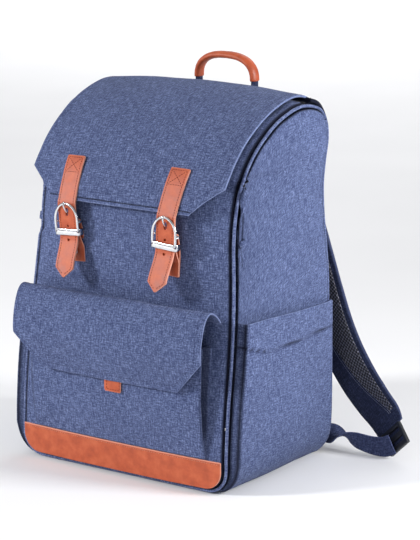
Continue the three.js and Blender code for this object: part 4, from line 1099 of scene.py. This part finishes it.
# One slanting dent, as the photograph shows on the flap's left half.
dent_across = (points[..., 0] + 78 + (flat[..., 1] - 70) * 0.5) / 15
dent = -2.6 * np.exp(-dent_across ** 2 - ((flat[..., 1] - 66) / 24) ** 2)
points = points + grid_normals(points) * ((soft + dent) * (1 - edge * 0.6) - hem_groove(edge))[..., None]
pflap = closed_sheet("pocket_flap_cloth", points, CLOTH_T, HEATHER, rim=0.45)
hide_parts("pocket_flap")
declare_sheet(pflap, points)
corner, hem_along = PFLAP_LENGTH - PFLAP_SHOULDER * 1.02, PFLAP_LENGTH - HEM_IN
side_half, hem_half = PFLAP_W / 2 - 5.4, PFLAP_W / 2 - PFLAP_CHAMFER_W - 2
paths = [stitch_row(points, (side * side_half, corner), (side * hem_half, hem_along), 14) for side in (1, -1)]
paths.append(stitch_row(points, (-hem_half, hem_along), (hem_half, hem_along), 50))
paths += [stitch_row(points, (side * side_half, 4), (side * side_half, corner), 40) for side in (-1, 1)]
sewn("pocket_flap_stitches", paths, BLUE_THREAD, 3.6, 0.3)

# The pull tab.
tab_low, tab_high = (np.array(c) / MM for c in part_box("pull_tab"))
tab_heights = np.concatenate([np.linspace(tab_low[2], tab_low[2] + 1.5, 4)[:-1],
                              np.linspace(tab_low[2] + 1.5, tab_high[2], 14)])
u, height = np.meshgrid(spaced(8, 0.04), tab_heights)
half = (tab_high[0] - tab_low[0]) / 2 - np.clip(2.0 - (height - tab_low[2]), 0, 2) * 0.6
x = (tab_high[0] + tab_low[0]) / 2 + mix(-half, half, u)
tab_points = front_at(height, x, pocket_out(height) + 2 * GAP + LEATHER_T + 1.2)
tab_points = facing(tab_points, (0, -1, 0))
tab = closed_sheet("pull_tab_leather", tab_points, LEATHER_T, LEATHER, rim=0.25, edge_soft=0.5)
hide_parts("pull_tab")
tab_long = lengths(tab_points)[-1, 0, 1]
paths = [stitch_row(tab_points, (side * 9.4, 2.6), (side * 9.4, tab_long - 2), 8) for side in (-1, 1)]
paths.append(stitch_row(tab_points, (-9.4, 2.6), (9.4, 2.6), 8))
sewn("pull_tab_stitches", paths, DARK_THREAD, 3.2, 0.36)

# Closing straps and buckles.
LID_OUT = FLAP_T + GAP
HEM = on_flap(1.0, (STRAP_SPACING - STRAP_W) / 2, LID_OUT)
STRAP_FOOT = HEM[2] - STRAP_TAIL


def strap_x(z):
    return STRAP_SPACING / 2 - STRAP_LEAN * (STRAP_TOP - z) / (STRAP_TOP - STRAP_FOOT)


def strap_line(aside, steps=16):
    """The strap's face along its length: over the lid, then hanging free below the hem."""
    rows = []
    for run in np.linspace(float(flap_run_at(STRAP_TOP)), 1, steps):
        spot = flap_surface(run, STRAP_SPACING / 2 + aside, GAP + STRAP_T)
        rows.append((strap_x(spot[2]) + aside, spot[1], spot[2]))
    for drop, out in STRAP_TAIL_ROWS:
        z = HEM[2] - drop * STRAP_TAIL
        rows.append((strap_x(z) + aside, HEM[1] - out * STRAP_KICK - STRAP_T, z))
    return resample(catmull(rows, np.linspace(0, 1, 700)), 0.25)


STRAP_MID = strap_line(0.0)
STRAP_LEN = 0.25 * (len(STRAP_MID) - 1)
POINT_LEN = 11.0


def strap_grid(cols, step):
    us = spaced(cols, 0.03)
    at = np.concatenate([[0, 0.5, 1.2], np.arange(2.5, STRAP_LEN - POINT_LEN - 0.5, step),
                         STRAP_LEN - np.array([11, 9.5, 8, 6, 4, 2.5, 1.2, 0.5, 0.05])])
    narrow = np.where(at > STRAP_LEN - POINT_LEN, (STRAP_LEN - at + 0.9) / (POINT_LEN + 0.9), 1.0)
    narrow = np.where(at < 1.2, 1 - (1.2 - at) * 0.04, narrow)
    points = np.zeros((len(at), len(us), 3))
    for j, share in enumerate(us):
        whole = strap_line((share - 0.5) * STRAP_W)
        place = np.clip(at / STRAP_LEN, 0, 1) * (len(whole) - 1)
        for k in range(3):
            points[:, j, k] = np.interp(place, np.arange(len(whole)), whole[:, k])
    middle = points[:, len(us) // 2, 0][:, None]
    points[..., 0] = middle + (points[..., 0] - middle) * narrow[:, None]
    return points


strap_points = facing(strap_grid(9, 2.2), (0, -1, 0))
strap = closed_sheet("strap_leather", strap_points, STRAP_T, LEATHER, rim=0.2, edge_soft=0.6)
SEAM_IN, BOX_LONG = 2.6, 21.0
strap_in = STRAP_W / 2 - SEAM_IN
tip = STRAP_LEN - POINT_LEN + 0.5
paths = [stitch_row(strap_points, (side * strap_in, SEAM_IN), (side * strap_in, tip), 60) for side in (-1, 1)]
paths += [stitch_row(strap_points, (side * strap_in, tip), (side * 1.4, STRAP_LEN - 3.6), 8)
          for side in (-1, 1)]
paths += [stitch_row(strap_points, (-strap_in, place), (strap_in, place), 10)
          for place in (SEAM_IN, BOX_LONG)]
cross = strap_in * 0.8
paths += [stitch_row(strap_points, (-side * cross, 4.2), (side * cross, BOX_LONG - 1.8), 10)
          for side in (-1, 1)]
strap_thread = sewn("strap_stitches", paths, DARK_THREAD, 3.0, 0.36)

KEEPER_Z = HEM[2] - BUCKLE_DROP
KEEPER = np.array([strap_x(KEEPER_Z), HEM[1] - STRAP_TAIL_ROWS[1][1] * STRAP_KICK - STRAP_T, KEEPER_Z])
TILT = math.atan2(STRAP_LEAN, STRAP_TOP - STRAP_FOOT)
HINGE_BACK = STRAP_T + PRONG_WIRE + HINGE_WIRE / 2 + 2 * GAP
RIM_HALF = STRAP_W / 2 + BUCKLE_GAP + BUCKLE_WIRE / 2
RIM_FRONT = -(GAP + BUCKLE_WIRE / 2)
HOLE_Z = HINGE_Z + 12


def at_buckle(points):
    """Moves points from the buckle's own place to the strap's keeper, leaning with the strap."""
    p = np.asarray(points, float)
    c, s = math.cos(TILT), math.sin(TILT)
    return np.stack([p[..., 0] * c + p[..., 2] * s, p[..., 1], -p[..., 0] * s + p[..., 2] * c], -1) + KEEPER


def bevelled(thing, width):
    tool = thing.modifiers.new("bevel", "BEVEL")
    tool.width = width * MM
    tool.segments = 3
    tool.limit_method = "ANGLE"
    tool.angle_limit = math.radians(35)


def drilled(thing, cutters):
    """Cuts the given meshes out of a piece, and applies the cuts."""
    verts, faces, _ = joined_meshes(cutters)
    data = bpy.data.meshes.new("cutter")
    data.from_pydata((verts * MM).tolist(), [], faces)
    outward(data)
    tool = linked(bpy.data.objects.new("cutter", data))
    cut = thing.modifiers.new("cut", "BOOLEAN")
    cut.operation = "DIFFERENCE"
    cut.solver = "EXACT"
    cut.object = tool
    bpy.context.view_layer.update()
    shown = thing.evaluated_get(bpy.context.evaluated_depsgraph_get())
    fresh = bpy.data.meshes.new_from_object(shown)
    thing.modifiers.remove(cut)
    thing.data = fresh
    bpy.data.objects.remove(tool)


# The prong's slot, and two round holes below it: height, half width and half length of each.
HOLE_STEP = 16.8
holes = []
for z, wide, long in ((HOLE_Z, 2.4, 5.0), (HOLE_Z - HOLE_STEP, 1.5, 1.5), (HOLE_Z - 2 * HOLE_STEP, 1.5, 1.5)):
    verts, faces, spots = tube_mesh([(0, -16, z), (0, 16, z)], wide, long, 20, face=(0, 0, 1))
    holes.append((at_buckle(verts), faces, spots))
drilled(strap, holes)
pair(strap, "strap_leather", "strap", "tan_leather")
pair(strap_thread, "strap_stitches", None, "tan_leather")

# The buckle: an arched rim, a keeper plate with two cheeks, and a hinge bar between two arms.
angle = np.linspace(np.pi, 0, 40)
arch_height = BUCKLE_SHOULDER + (BUCKLE_H - BUCKLE_SHOULDER) * np.sin(angle)
arch = np.stack([RIM_HALF * np.cos(angle), np.full(40, RIM_FRONT), arch_height], -1)
legs = [[(side * RIM_HALF, RIM_FRONT, z) for z in (0, 7)] for side in (-1, 1)]
rim = np.vstack([legs[0], arch, legs[1][::-1]])
buckle_parts = [tube_mesh(rim, BUCKLE_WIRE / 2, BUCKLE_WIRE / 2 * 0.8, 14, face=(0, 1, 0.05))]
keeper_half = RIM_HALF + KEEPER_T / 2
plate = [(x * keeper_half, -(GAP + KEEPER_T / 2) - 0.7 * (1 - x ** 4), 0.0) for x in np.linspace(-1, 1, 25)]
buckle_parts.append(tube_mesh(plate, 0.95, KEEPER_H / 2, 16, face=(0, 0, 1)))
for side in (-1, 1):
    cheek = [(side * (RIM_HALF + 0.4), y, 0) for y in (RIM_FRONT, HINGE_BACK)]
    arm = [(side * RIM_HALF, y, HINGE_Z) for y in (RIM_FRONT, HINGE_BACK + 1)]
    buckle_parts.append(tube_mesh(cheek, 0.8, KEEPER_H / 2, 12, face=(0, 0, 1)))
    buckle_parts.append(tube_mesh(arm, 0.9, 1.2, 10, face=(0, 0, 1)))
hinge = [(side * RIM_HALF, HINGE_BACK, HINGE_Z) for side in (-1, 1)]
buckle_parts.append(tube_mesh(hinge, HINGE_WIRE / 2, HINGE_WIRE / 2, 12))
verts, faces, spots = joined_meshes(buckle_parts)
buckle = keep("buckle_metal", at_buckle(verts), faces, METAL)
pair(buckle, "buckle_metal", "buckle", "silver_metal")

behind = HINGE_BACK - (HINGE_WIRE + PRONG_WIRE) / 2 - GAP
before = RIM_FRONT - (BUCKLE_WIRE + PRONG_WIRE) / 2 - GAP
prong_places = [(0, behind, HINGE_Z - 1.1), (0, behind, HOLE_Z - 4.4),
                (0, (behind + before) / 2, HOLE_Z), (0, before, BUCKLE_H - 3), (0, before + 0.5, BUCKLE_H + 3)]
prong_path = catmull(prong_places, np.linspace(0, 1, 30))
prong_half = np.interp(np.linspace(0, 1, 30), [0, 0.9, 1], [1.1, 1.1, 0.7])
verts, faces, spots = tube_mesh(prong_path, prong_half, 1.0, 12, face=(0, 1, 0.2))
prong = keep("buckle_prong_metal", at_buckle(verts), faces, METAL)
pair(prong, "buckle_prong_metal", "buckle_prong", "silver_metal")

# The folded tab: up from the wall, round the hinge bar and down again.
WALL_Y = front_at(KEEPER[2] - TAB_DROP, KEEPER[0] - TAB_W / 2, GAP)[1] - KEEPER[1]
outer_r = HINGE_WIRE / 2 + GAP + TAB_LEATHER / 2
sewn_y = WALL_Y - 1.5 * TAB_LEATHER
fold = [(WALL_Y - TAB_LEATHER / 2, -TAB_DROP), (WALL_Y - TAB_LEATHER / 2, -TAB_DROP * 0.3),
        (mix(HINGE_BACK + outer_r, WALL_Y, 0.55), 0), (HINGE_BACK + outer_r, HINGE_Z)]
fold += [(HINGE_BACK + outer_r * math.cos(a), HINGE_Z + outer_r * math.sin(a))
         for a in np.linspace(0, math.pi, 9)[1:-1]]
fold += [(HINGE_BACK - outer_r, HINGE_Z), (HINGE_BACK - outer_r, 1),
         ((HINGE_BACK - outer_r + sewn_y) / 2, -TAB_DROP * 0.28),
         (sewn_y, -TAB_DROP * 0.52), (sewn_y, -TAB_DROP)]
fold_line = resample(catmull([(0, y, z) for y, z in fold], np.linspace(0, 1, 300)), 1.2)
us = spaced(8, 0.03)
points = np.repeat(fold_line[:, None], len(us), 1)
points[..., 0] += mix(-TAB_W / 2, TAB_W / 2, us)[None]
away = grid_normals(points)
points = at_buckle(points + away * TAB_LEATHER / 2)
fold_tab = closed_sheet("buckle_tab_leather", points, TAB_LEATHER, LEATHER,
                        rim=0.2, edge_soft=0.6)
pair(fold_tab, "buckle_tab_leather", "buckle_tab", "tan_leather")

snap_y = WALL_Y - 2 * TAB_LEATHER - GAP
# The snap's turned profile: radius and height.
profile = [(0.01, 1.7), (1.2, 1.6), (2.1, 1.25), (2.5, 0.9), (3.1, 0.8), (3.3, 0.4), (3.2, 0.0), (0.01, 0.0)]
SPOKES = 28
turns = np.linspace(0, 2 * np.pi, SPOKES, endpoint=False)
verts = np.array([(r * math.cos(a), snap_y - h, r * math.sin(a) - TAB_DROP * 0.68)
                  for r, h in profile for a in turns])
faces = [[i + k, i + (k + 1) % SPOKES, i + SPOKES + (k + 1) % SPOKES, i + SPOKES + k]
         for i in range(0, (len(profile) - 1) * SPOKES, SPOKES) for k in range(SPOKES)]
snap = keep("snap_metal", at_buckle(verts), faces, METAL)
pair(snap, "snap_metal", "snap", "silver_metal")

# The side pockets.
RUN_TOP = SIDE_POCKET_TOP - CORNER + CORNER_RUN
RUN_FOOT = CORNER_RUN * (1 - 55 / 90)
SIDE_GUSSET = 0.07
SIDE_POCKET_FALL = 9.0


def side_pocket_place(u, run):
    """The side pocket's outer cloth: out at its front edge, flatter towards the back."""
    front_y, back_y = side_edge(run, False) + GAP, side_edge(run, True) - GAP
    fill = np.clip((run - RUN_FOOT) / SIDE_POCKET_FOOT, 0, 1)
    along = np.clip((u - SIDE_GUSSET) / (1 - 2 * SIDE_GUSSET), 0, 1)
    y = mix(front_y, back_y, along)
    full = SIDE_POCKET_D * table(SIDE_POCKET_SECTIONS, along)
    stand = np.maximum(full * mix(0.2, 1, fill), CLOTH_T)
    side = np.clip(np.minimum(u, 1 - u) / SIDE_GUSSET, 0, 1)
    return on_side(y, run, GAP + bulge_at(y, run) + stand * side)


def hem_line(y):
    """The height of the hem's seam at places from the front to the back."""
    return 163 + 13 * np.clip((-45 - y) / 45, 0, 1)


def side_pocket_place_at(y, z):
    """Points and outward directions on the pocket's outer cloth at given places along and up the side."""
    rows, cols = points.shape[:2]
    out, ways = [], []
    normals = grid_normals(points)
    for a, b in zip(y, z):
        miss = (points[..., 1] - a) ** 2 + (points[..., 2] - b) ** 2
        i, j = np.unravel_index(np.argmin(miss), miss.shape)
        spot, way = points[i, j], normals[i, j]
        step = np.array([0, a - spot[1], b - spot[2]])
        out.append(spot + step - way * (step @ way))
        ways.append(way)
    return np.array(out), np.array(ways)


gusset = np.concatenate([np.linspace(0, SIDE_GUSSET, 6)[:-1], [SIDE_GUSSET * 0.96]])
pocket_us = np.concatenate([gusset, np.linspace(SIDE_GUSSET, 1 - SIDE_GUSSET, 50), 1 - gusset[::-1]])
u, run = np.meshgrid(pocket_us, np.linspace(RUN_FOOT, RUN_TOP, 62))
fall = SIDE_POCKET_FALL / (RUN_TOP - RUN_FOOT) * np.clip((u - 0.25) / 0.75, 0, 1)
run = RUN_FOOT + (run - RUN_FOOT) * (1 - fall)
points = side_pocket_place(u, run)
points = facing(points, (1, 0, 0))
normal = grid_normals(points)
hem_height = hem_line(points[..., 1])
below = hem_height - points[..., 2]
hem = -1.5 * np.exp(-(below / 1.4) ** 2) + 0.9 * np.clip(-below / 1.5, 0, 1)
middle = np.clip(np.minimum(u - SIDE_GUSSET, 1 - SIDE_GUSSET - u) / 0.08, 0, 1)
soft = soft_waves(points, 91, ((80, 85, 70), 1.7), ((40, 36, 44), 0.8)) * middle
crease_across = (points[..., 1] + 62 - (points[..., 2] - 60) * 0.6) / 4
crease = -1.6 * np.exp(-crease_across ** 2 - ((points[..., 2] - 55) / 22) ** 2)
points = points + normal * (soft + crease * middle + hem * np.clip(middle * 3, 0.25, 1))[..., None]
# Painted shade: a dark line along the gusset's corner, the gusset itself darker, the cloth darker towards the
# foot where less light reaches, and a dark line at the hem's seam, all standing in for shadow.
gusset_line_shade = np.exp(-((u - SIDE_GUSSET * 0.8) / (SIDE_GUSSET * 0.22)) ** 2)
gusset_shade = 0.35 * np.clip(1 - u / (SIDE_GUSSET * 0.9), 0, 1) ** 0.5
foot_shade = 0.24 * np.clip((80 - points[..., 2]) / 60, 0, 1)
hem_line_shade = np.exp(-((below - 0.3) / 1.1) ** 2) * (points[..., 1] < 103)
seam_shade = np.clip(foot_shade + 0.85 * hem_line_shade + gusset_line_shade * 0.85 + gusset_shade, 0, 1)
side_pocket = closed_sheet("side_pocket_cloth", points, CLOTH_T, HEATHER,
                           rim=0.35, shade=seam_shade)
pocket_pieces = pair(side_pocket, "side_pocket_cloth", "side_pocket", "heather_fabric")
for piece, side_name in zip(pocket_pieces, ("right", "left")):
    declare_sheet(piece, points)
seam_y = np.linspace(-86, 96, 90)
seam_z = hem_line(seam_y) - 2.6
seam_spots = side_pocket_place_at(seam_y, seam_z)
hem_thread = sewn("side_hem_stitches", [seam_spots], BLUE_THREAD, 3.6, 0.32)
pair(hem_thread, "side_hem_stitches", None, "heather_fabric")

# The handle.
angle = np.linspace(np.pi, 0, 70)
arch_x = (HANDLE_SPAN / 2) * np.sign(np.cos(angle)) * np.abs(np.cos(angle)) ** 0.8
arch_z = HANDLE_FOOT + HANDLE_RISE * np.sin(angle) ** 0.8
arch = resample(np.stack([arch_x, np.full(70, HANDLE_BACK), arch_z], -1), 2.0)
handle = tube("handle_leather", arch, 4.4, 7.9, 18, LEATHER, face=(0, 1, 0))
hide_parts("carry_handle")
seat = on_body(share_at(STUB_SEAT, True), HANDLE_SPAN / 2, 0.6)
bend = on_body(share_at(STUB_SEAT, True), HANDLE_SPAN / 2, 6.5)
rise = (HANDLE_SPAN / 2, HANDLE_BACK, mix(STUB_SEAT, HANDLE_FOOT, 0.6))
stub_top = (HANDLE_SPAN / 2, HANDLE_BACK, HANDLE_FOOT - 0.3)
stub_path = resample(catmull([seat, bend, rise, stub_top], np.linspace(0, 1, 60)), 1.5)
stub = tube("handle_stub_cloth", stub_path, 2.9, 6.4, 14, NAVY, face=(0, 1, 0.3))
pair(stub, "handle_stub_cloth", "handle_stub", "navy_fabric")

# The shoulder straps.
shoulder_points = [(a * BODY_W / 2, b * BODY_D, h * BODY_H) for a, b, h, *_ in SHOULDER]
top = on_body(share_at(shoulder_points[0][2], True), shoulder_points[0][0] - PAD_W / 2, GAP)
shoulder_points[0] = (shoulder_points[0][0], float(top[1]), shoulder_points[0][2])
SH_SHARES = np.linspace(0, 1, 1201)
SH_LINE = catmull(shoulder_points, SH_SHARES)
SH_ALONG = unit(np.gradient(SH_LINE, axis=0))


def on_shoulder(run, across, out_share, out_more=0.0):
    """A point of the pad: its run from the top, its share across, and out towards the bag."""
    place = np.interp
    centre = np.stack([place(run, SH_SHARES, SH_LINE[:, k]) for k in range(3)], -1)
    along = unit(np.stack([place(run, SH_SHARES, SH_ALONG[:, k]) for k in range(3)], -1))
    rows = np.linspace(0, 1, len(SHOULDER))
    width, thick, down = (place(run, rows, [r[k] for r in SHOULDER]) for k in (3, 4, 5))
    down = np.radians(down)
    face = np.stack([np.zeros(down.shape), -np.cos(down), -np.sin(down)], -1)
    face = unit(face - along * (face * along).sum(-1, keepdims=True))
    aside = unit(np.cross(along, face))
    aside = np.where(aside[..., :1] < 0, -aside, aside)
    body = 1 - 0.45 * np.abs(2 * across - 1) ** 3
    push = out_share * PAD_T * thick * body + out_more
    return centre + aside * ((across - 0.5) * PAD_W * width)[..., None] + face * push[..., None]


pad_runs = np.concatenate([[0, 0.002, 0.006], np.linspace(0.012, 0.99, 120), [0.996, 1.0]])
u, v = np.meshgrid(spaced(22, 0.02), pad_runs)
outer = on_shoulder(v, u, np.full(u.shape, -0.5))
inner = on_shoulder(v, u, np.full(u.shape, 0.5))
swell = soft_waves(outer, 101, (45, 0.7), (22, 0.3)) * (1 - near_edges(u, v, PAD_W, 460, 8))
outer = outer + unit(outer - inner) * swell[..., None]
pad = closed_sheet("shoulder_pad_cloth", outer, 1.0, NAVY, rim=0.3, inner=inner)
for piece in pair(pad, "shoulder_pad_cloth", "shoulder_pad", "navy_fabric"):
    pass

MESH_START, MESH_RUN = 0.2, 0.73
u, v = np.meshgrid(np.linspace(0, 1, 18), np.linspace(MESH_START, MESH_START + MESH_RUN, 110))
share = (v - MESH_START) / MESH_RUN
across = mix(table(MESH_SECTIONS, share), MESH_OUTER, u)
lining_outer = on_shoulder(v, across, np.full(u.shape, 0.5), 1.8)
lining_inner = on_shoulder(v, across, np.full(u.shape, 0.5), 0.6)
lining = closed_sheet("pad_mesh_cloth", lining_outer, 1.0, MESH, rim=0.2, inner=lining_inner)
pair(lining, "pad_mesh_cloth", "pad_mesh", "black_mesh")
runs = np.linspace(0.44, 0.94, 160)
inner_edge = table(MESH_SECTIONS, (runs - MESH_START) / MESH_RUN)
face = np.full(len(runs), 0.5)
toward_bag = on_shoulder(runs, inner_edge, face, 1.0) - on_shoulder(runs, inner_edge, face)
paths = [(on_shoulder(runs, inner_edge - aside / PAD_W, face, 0.3), toward_bag) for aside in (1.0, 4.0)]
pad_thread = sewn("pad_stitches", paths, NAVY_THREAD, 2.6, 0.42)
pair(pad_thread, "pad_stitches", None, "navy_fabric")

# Locks and webbing.
for name in ("ladder_lock_right", "ladder_lock_left"):
    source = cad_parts[name]
    data = source.data.copy()
    lock = linked(bpy.data.objects.new(f"{name}_plastic", data))
    data.materials.clear()
    data.materials.append(PLASTIC)
    work = bmesh.new()
    work.from_mesh(data)
    bmesh.ops.remove_doubles(work, verts=work.verts, dist=1e-5)
    bmesh.ops.dissolve_limit(work, angle_limit=0.02, verts=work.verts, edges=work.edges)
    work.to_mesh(data)
    work.free()
    data.polygons.foreach_set("use_smooth", [True] * len(data.polygons))
    bevelled(lock, 1.1)
    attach(lock, "root")
    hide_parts(name)

web_share = share_at(WEBBING[0][2] * BODY_H + WEB_W / 2, True)
web_seat = float(on_body(web_share, BODY_W / 2 - SEAM, 0.0)[1])
web_points = [(a * BODY_W / 2, web_seat + GAP + WEB_T + b * BODY_D, h * BODY_H) for a, b, h, _ in WEBBING]
shares = np.linspace(0, 1, 120)
web_line = catmull(web_points, shares)
turn = np.radians(catmull([(0, r[3]) for r in WEBBING], shares)[..., 1])
along = unit(np.gradient(web_line, axis=0))
wide = np.stack([np.zeros(turn.shape), np.cos(turn), np.sin(turn)], -1)
wide = unit(wide - along * (wide * along).sum(-1, keepdims=True))
us = spaced(8, 0.03)
points = web_line[:, None] + wide[:, None] * ((us - 0.5) * WEB_W)[None, :, None]
through = grid_normals(points)
points = points + through * WEB_T / 2
webbing = closed_sheet("webbing_cloth", points, WEB_T, WEBBING_CLOTH, rim=0.3)
pair(webbing, "webbing_cloth", "strap_webbing", "navy_fabric")

# The end of the webbing, threaded through the lock and lying behind its bars.
lock_end = SH_LINE[-1] + SH_ALONG[-1] * 2 * GAP
lock_back = unit(np.array([0.0, 1.0, 0.0]) - SH_ALONG[-1] * SH_ALONG[-1][1])
lock_aside = np.cross(lock_back, -SH_ALONG[-1])
u, reach = np.meshgrid(spaced(8, 0.03), np.linspace(3.5, 27, 12))
behind_bars = 2.5 + GAP + 1.2 + 0.5 * np.sin(reach / 4)
points = lock_end + SH_ALONG[-1] * reach[..., None] + lock_back * behind_bars[..., None]
points = facing(points + lock_aside * ((u - 0.5) * WEB_W)[..., None], lock_back)
threaded = closed_sheet("webbing_end_cloth", points, 1.1, WEBBING_CLOTH, rim=0.3)
pair(threaded, "webbing_end_cloth", None, "navy_fabric")

# Floor, lights and camera.
floor_mat, nodes, links, shader = material("pale_floor")
cloud = noise_at(nodes, links, object_place(nodes), 2.0)
tone = ramp(nodes, links, cloud, [(0.3, (0.86, 0.86, 0.87, 1)), (0.7, (0.90, 0.90, 0.91, 1))])
links.new(tone, shader.inputs["Base Color"])
shader.inputs["Roughness"].default_value = 0.9
floor_data = bpy.data.meshes.new("floor")
floor_data.from_pydata([(-9, -9, 0), (9, -9, 0), (9, 9, 0), (-9, 9, 0)], [], [(0, 1, 2, 3)])
floor_data.materials.append(floor_mat)
floor = linked(bpy.data.objects.new("floor", floor_data))
floor.location = (0, 0, -0.0002)


def studio_world():
    """A dim, soft room: brighter overhead than at the horizon."""
    world = bpy.data.worlds.new("studio")
    bpy.context.scene.world = world
    world.use_nodes = True
    nodes, links = world.node_tree.nodes, world.node_tree.links
    ways = nodes.new("ShaderNodeTexCoord")
    parts = nodes.new("ShaderNodeSeparateXYZ")
    links.new(ways.outputs["Generated"], parts.inputs[0])
    tone = ramp(nodes, links, parts.outputs["Z"], [
        (0.0, (0.16, 0.165, 0.18, 1)), (0.15, (0.20, 0.205, 0.22, 1)),
        (0.5, (0.52, 0.53, 0.55, 1)), (1.0, (0.6, 0.6, 0.61, 1))])
    links.new(tone, nodes["Background"].inputs["Color"])
    nodes["Background"].inputs["Strength"].default_value = 0.8


studio_world()
bpy.context.scene.view_settings.view_transform = "Standard"


def area_light(name, place, target, size, power, spread=180.0):
    """A soft light at a place, turned towards a target; sizes in metres, power in watts."""
    data = bpy.data.lights.new(name, "AREA")
    data.shape = "RECTANGLE"
    data.size, data.size_y = size
    data.energy = power
    data.spread = math.radians(spread)
    thing = linked(bpy.data.objects.new(name, data))
    thing.location = place
    thing.rotation_euler = (Vector(target) - Vector(place)).to_track_quat("-Z", "Y").to_euler()


area_light("key", (-1.9, -2.3, 1.5), (0, 0, 0.2), (0.55, 0.55), 84)
area_light("side", (1.5, 0.35, 0.75), (0.156, 0, 0.36), (0.5, 0.5), 10.5, 110)
area_light("front", (1.0, -2.8, 0.7), (0, 0, 0.2), (0.9, 0.9), 10)
area_light("back", (-0.6, 2.4, 1.9), (0, 0, 0.3), (1.6, 1.2), 14)
area_light("backdrop", (-2.4, 4.4, 2.2), (-2.8, 4.8, 0), (3.0, 3.0), 90)

# The camera, as worked out from the photograph: turns in radians, place in metres, focus in pixels.
yaw, pitch, roll = 0.6441707, 0.2277469, -0.0144180
CAMERA_PLACE = (1.717288, -2.213147, 0.877908)
FOCUS, PHOTO_H, SENSOR_H = 2385.25, 540, 36
right = Vector((math.cos(yaw), math.sin(yaw), 0))
ahead = Vector((-math.sin(yaw) * math.cos(pitch), math.cos(yaw) * math.cos(pitch), -math.sin(pitch)))
above = right.cross(ahead)
cam_right = right * math.cos(roll) + above * math.sin(roll)
cam_up = above * math.cos(roll) - right * math.sin(roll)
camera_data = bpy.data.cameras.new("camera")
camera_data.sensor_fit = "VERTICAL"
camera_data.sensor_height = SENSOR_H
camera_data.lens = FOCUS * SENSOR_H / PHOTO_H
camera = linked(bpy.data.objects.new("camera", camera_data))
turned = Matrix((cam_right, cam_up, -ahead)).transposed().to_4x4()
camera.matrix_world = Matrix.Translation(CAMERA_PLACE) @ turned
bpy.context.scene.camera = camera
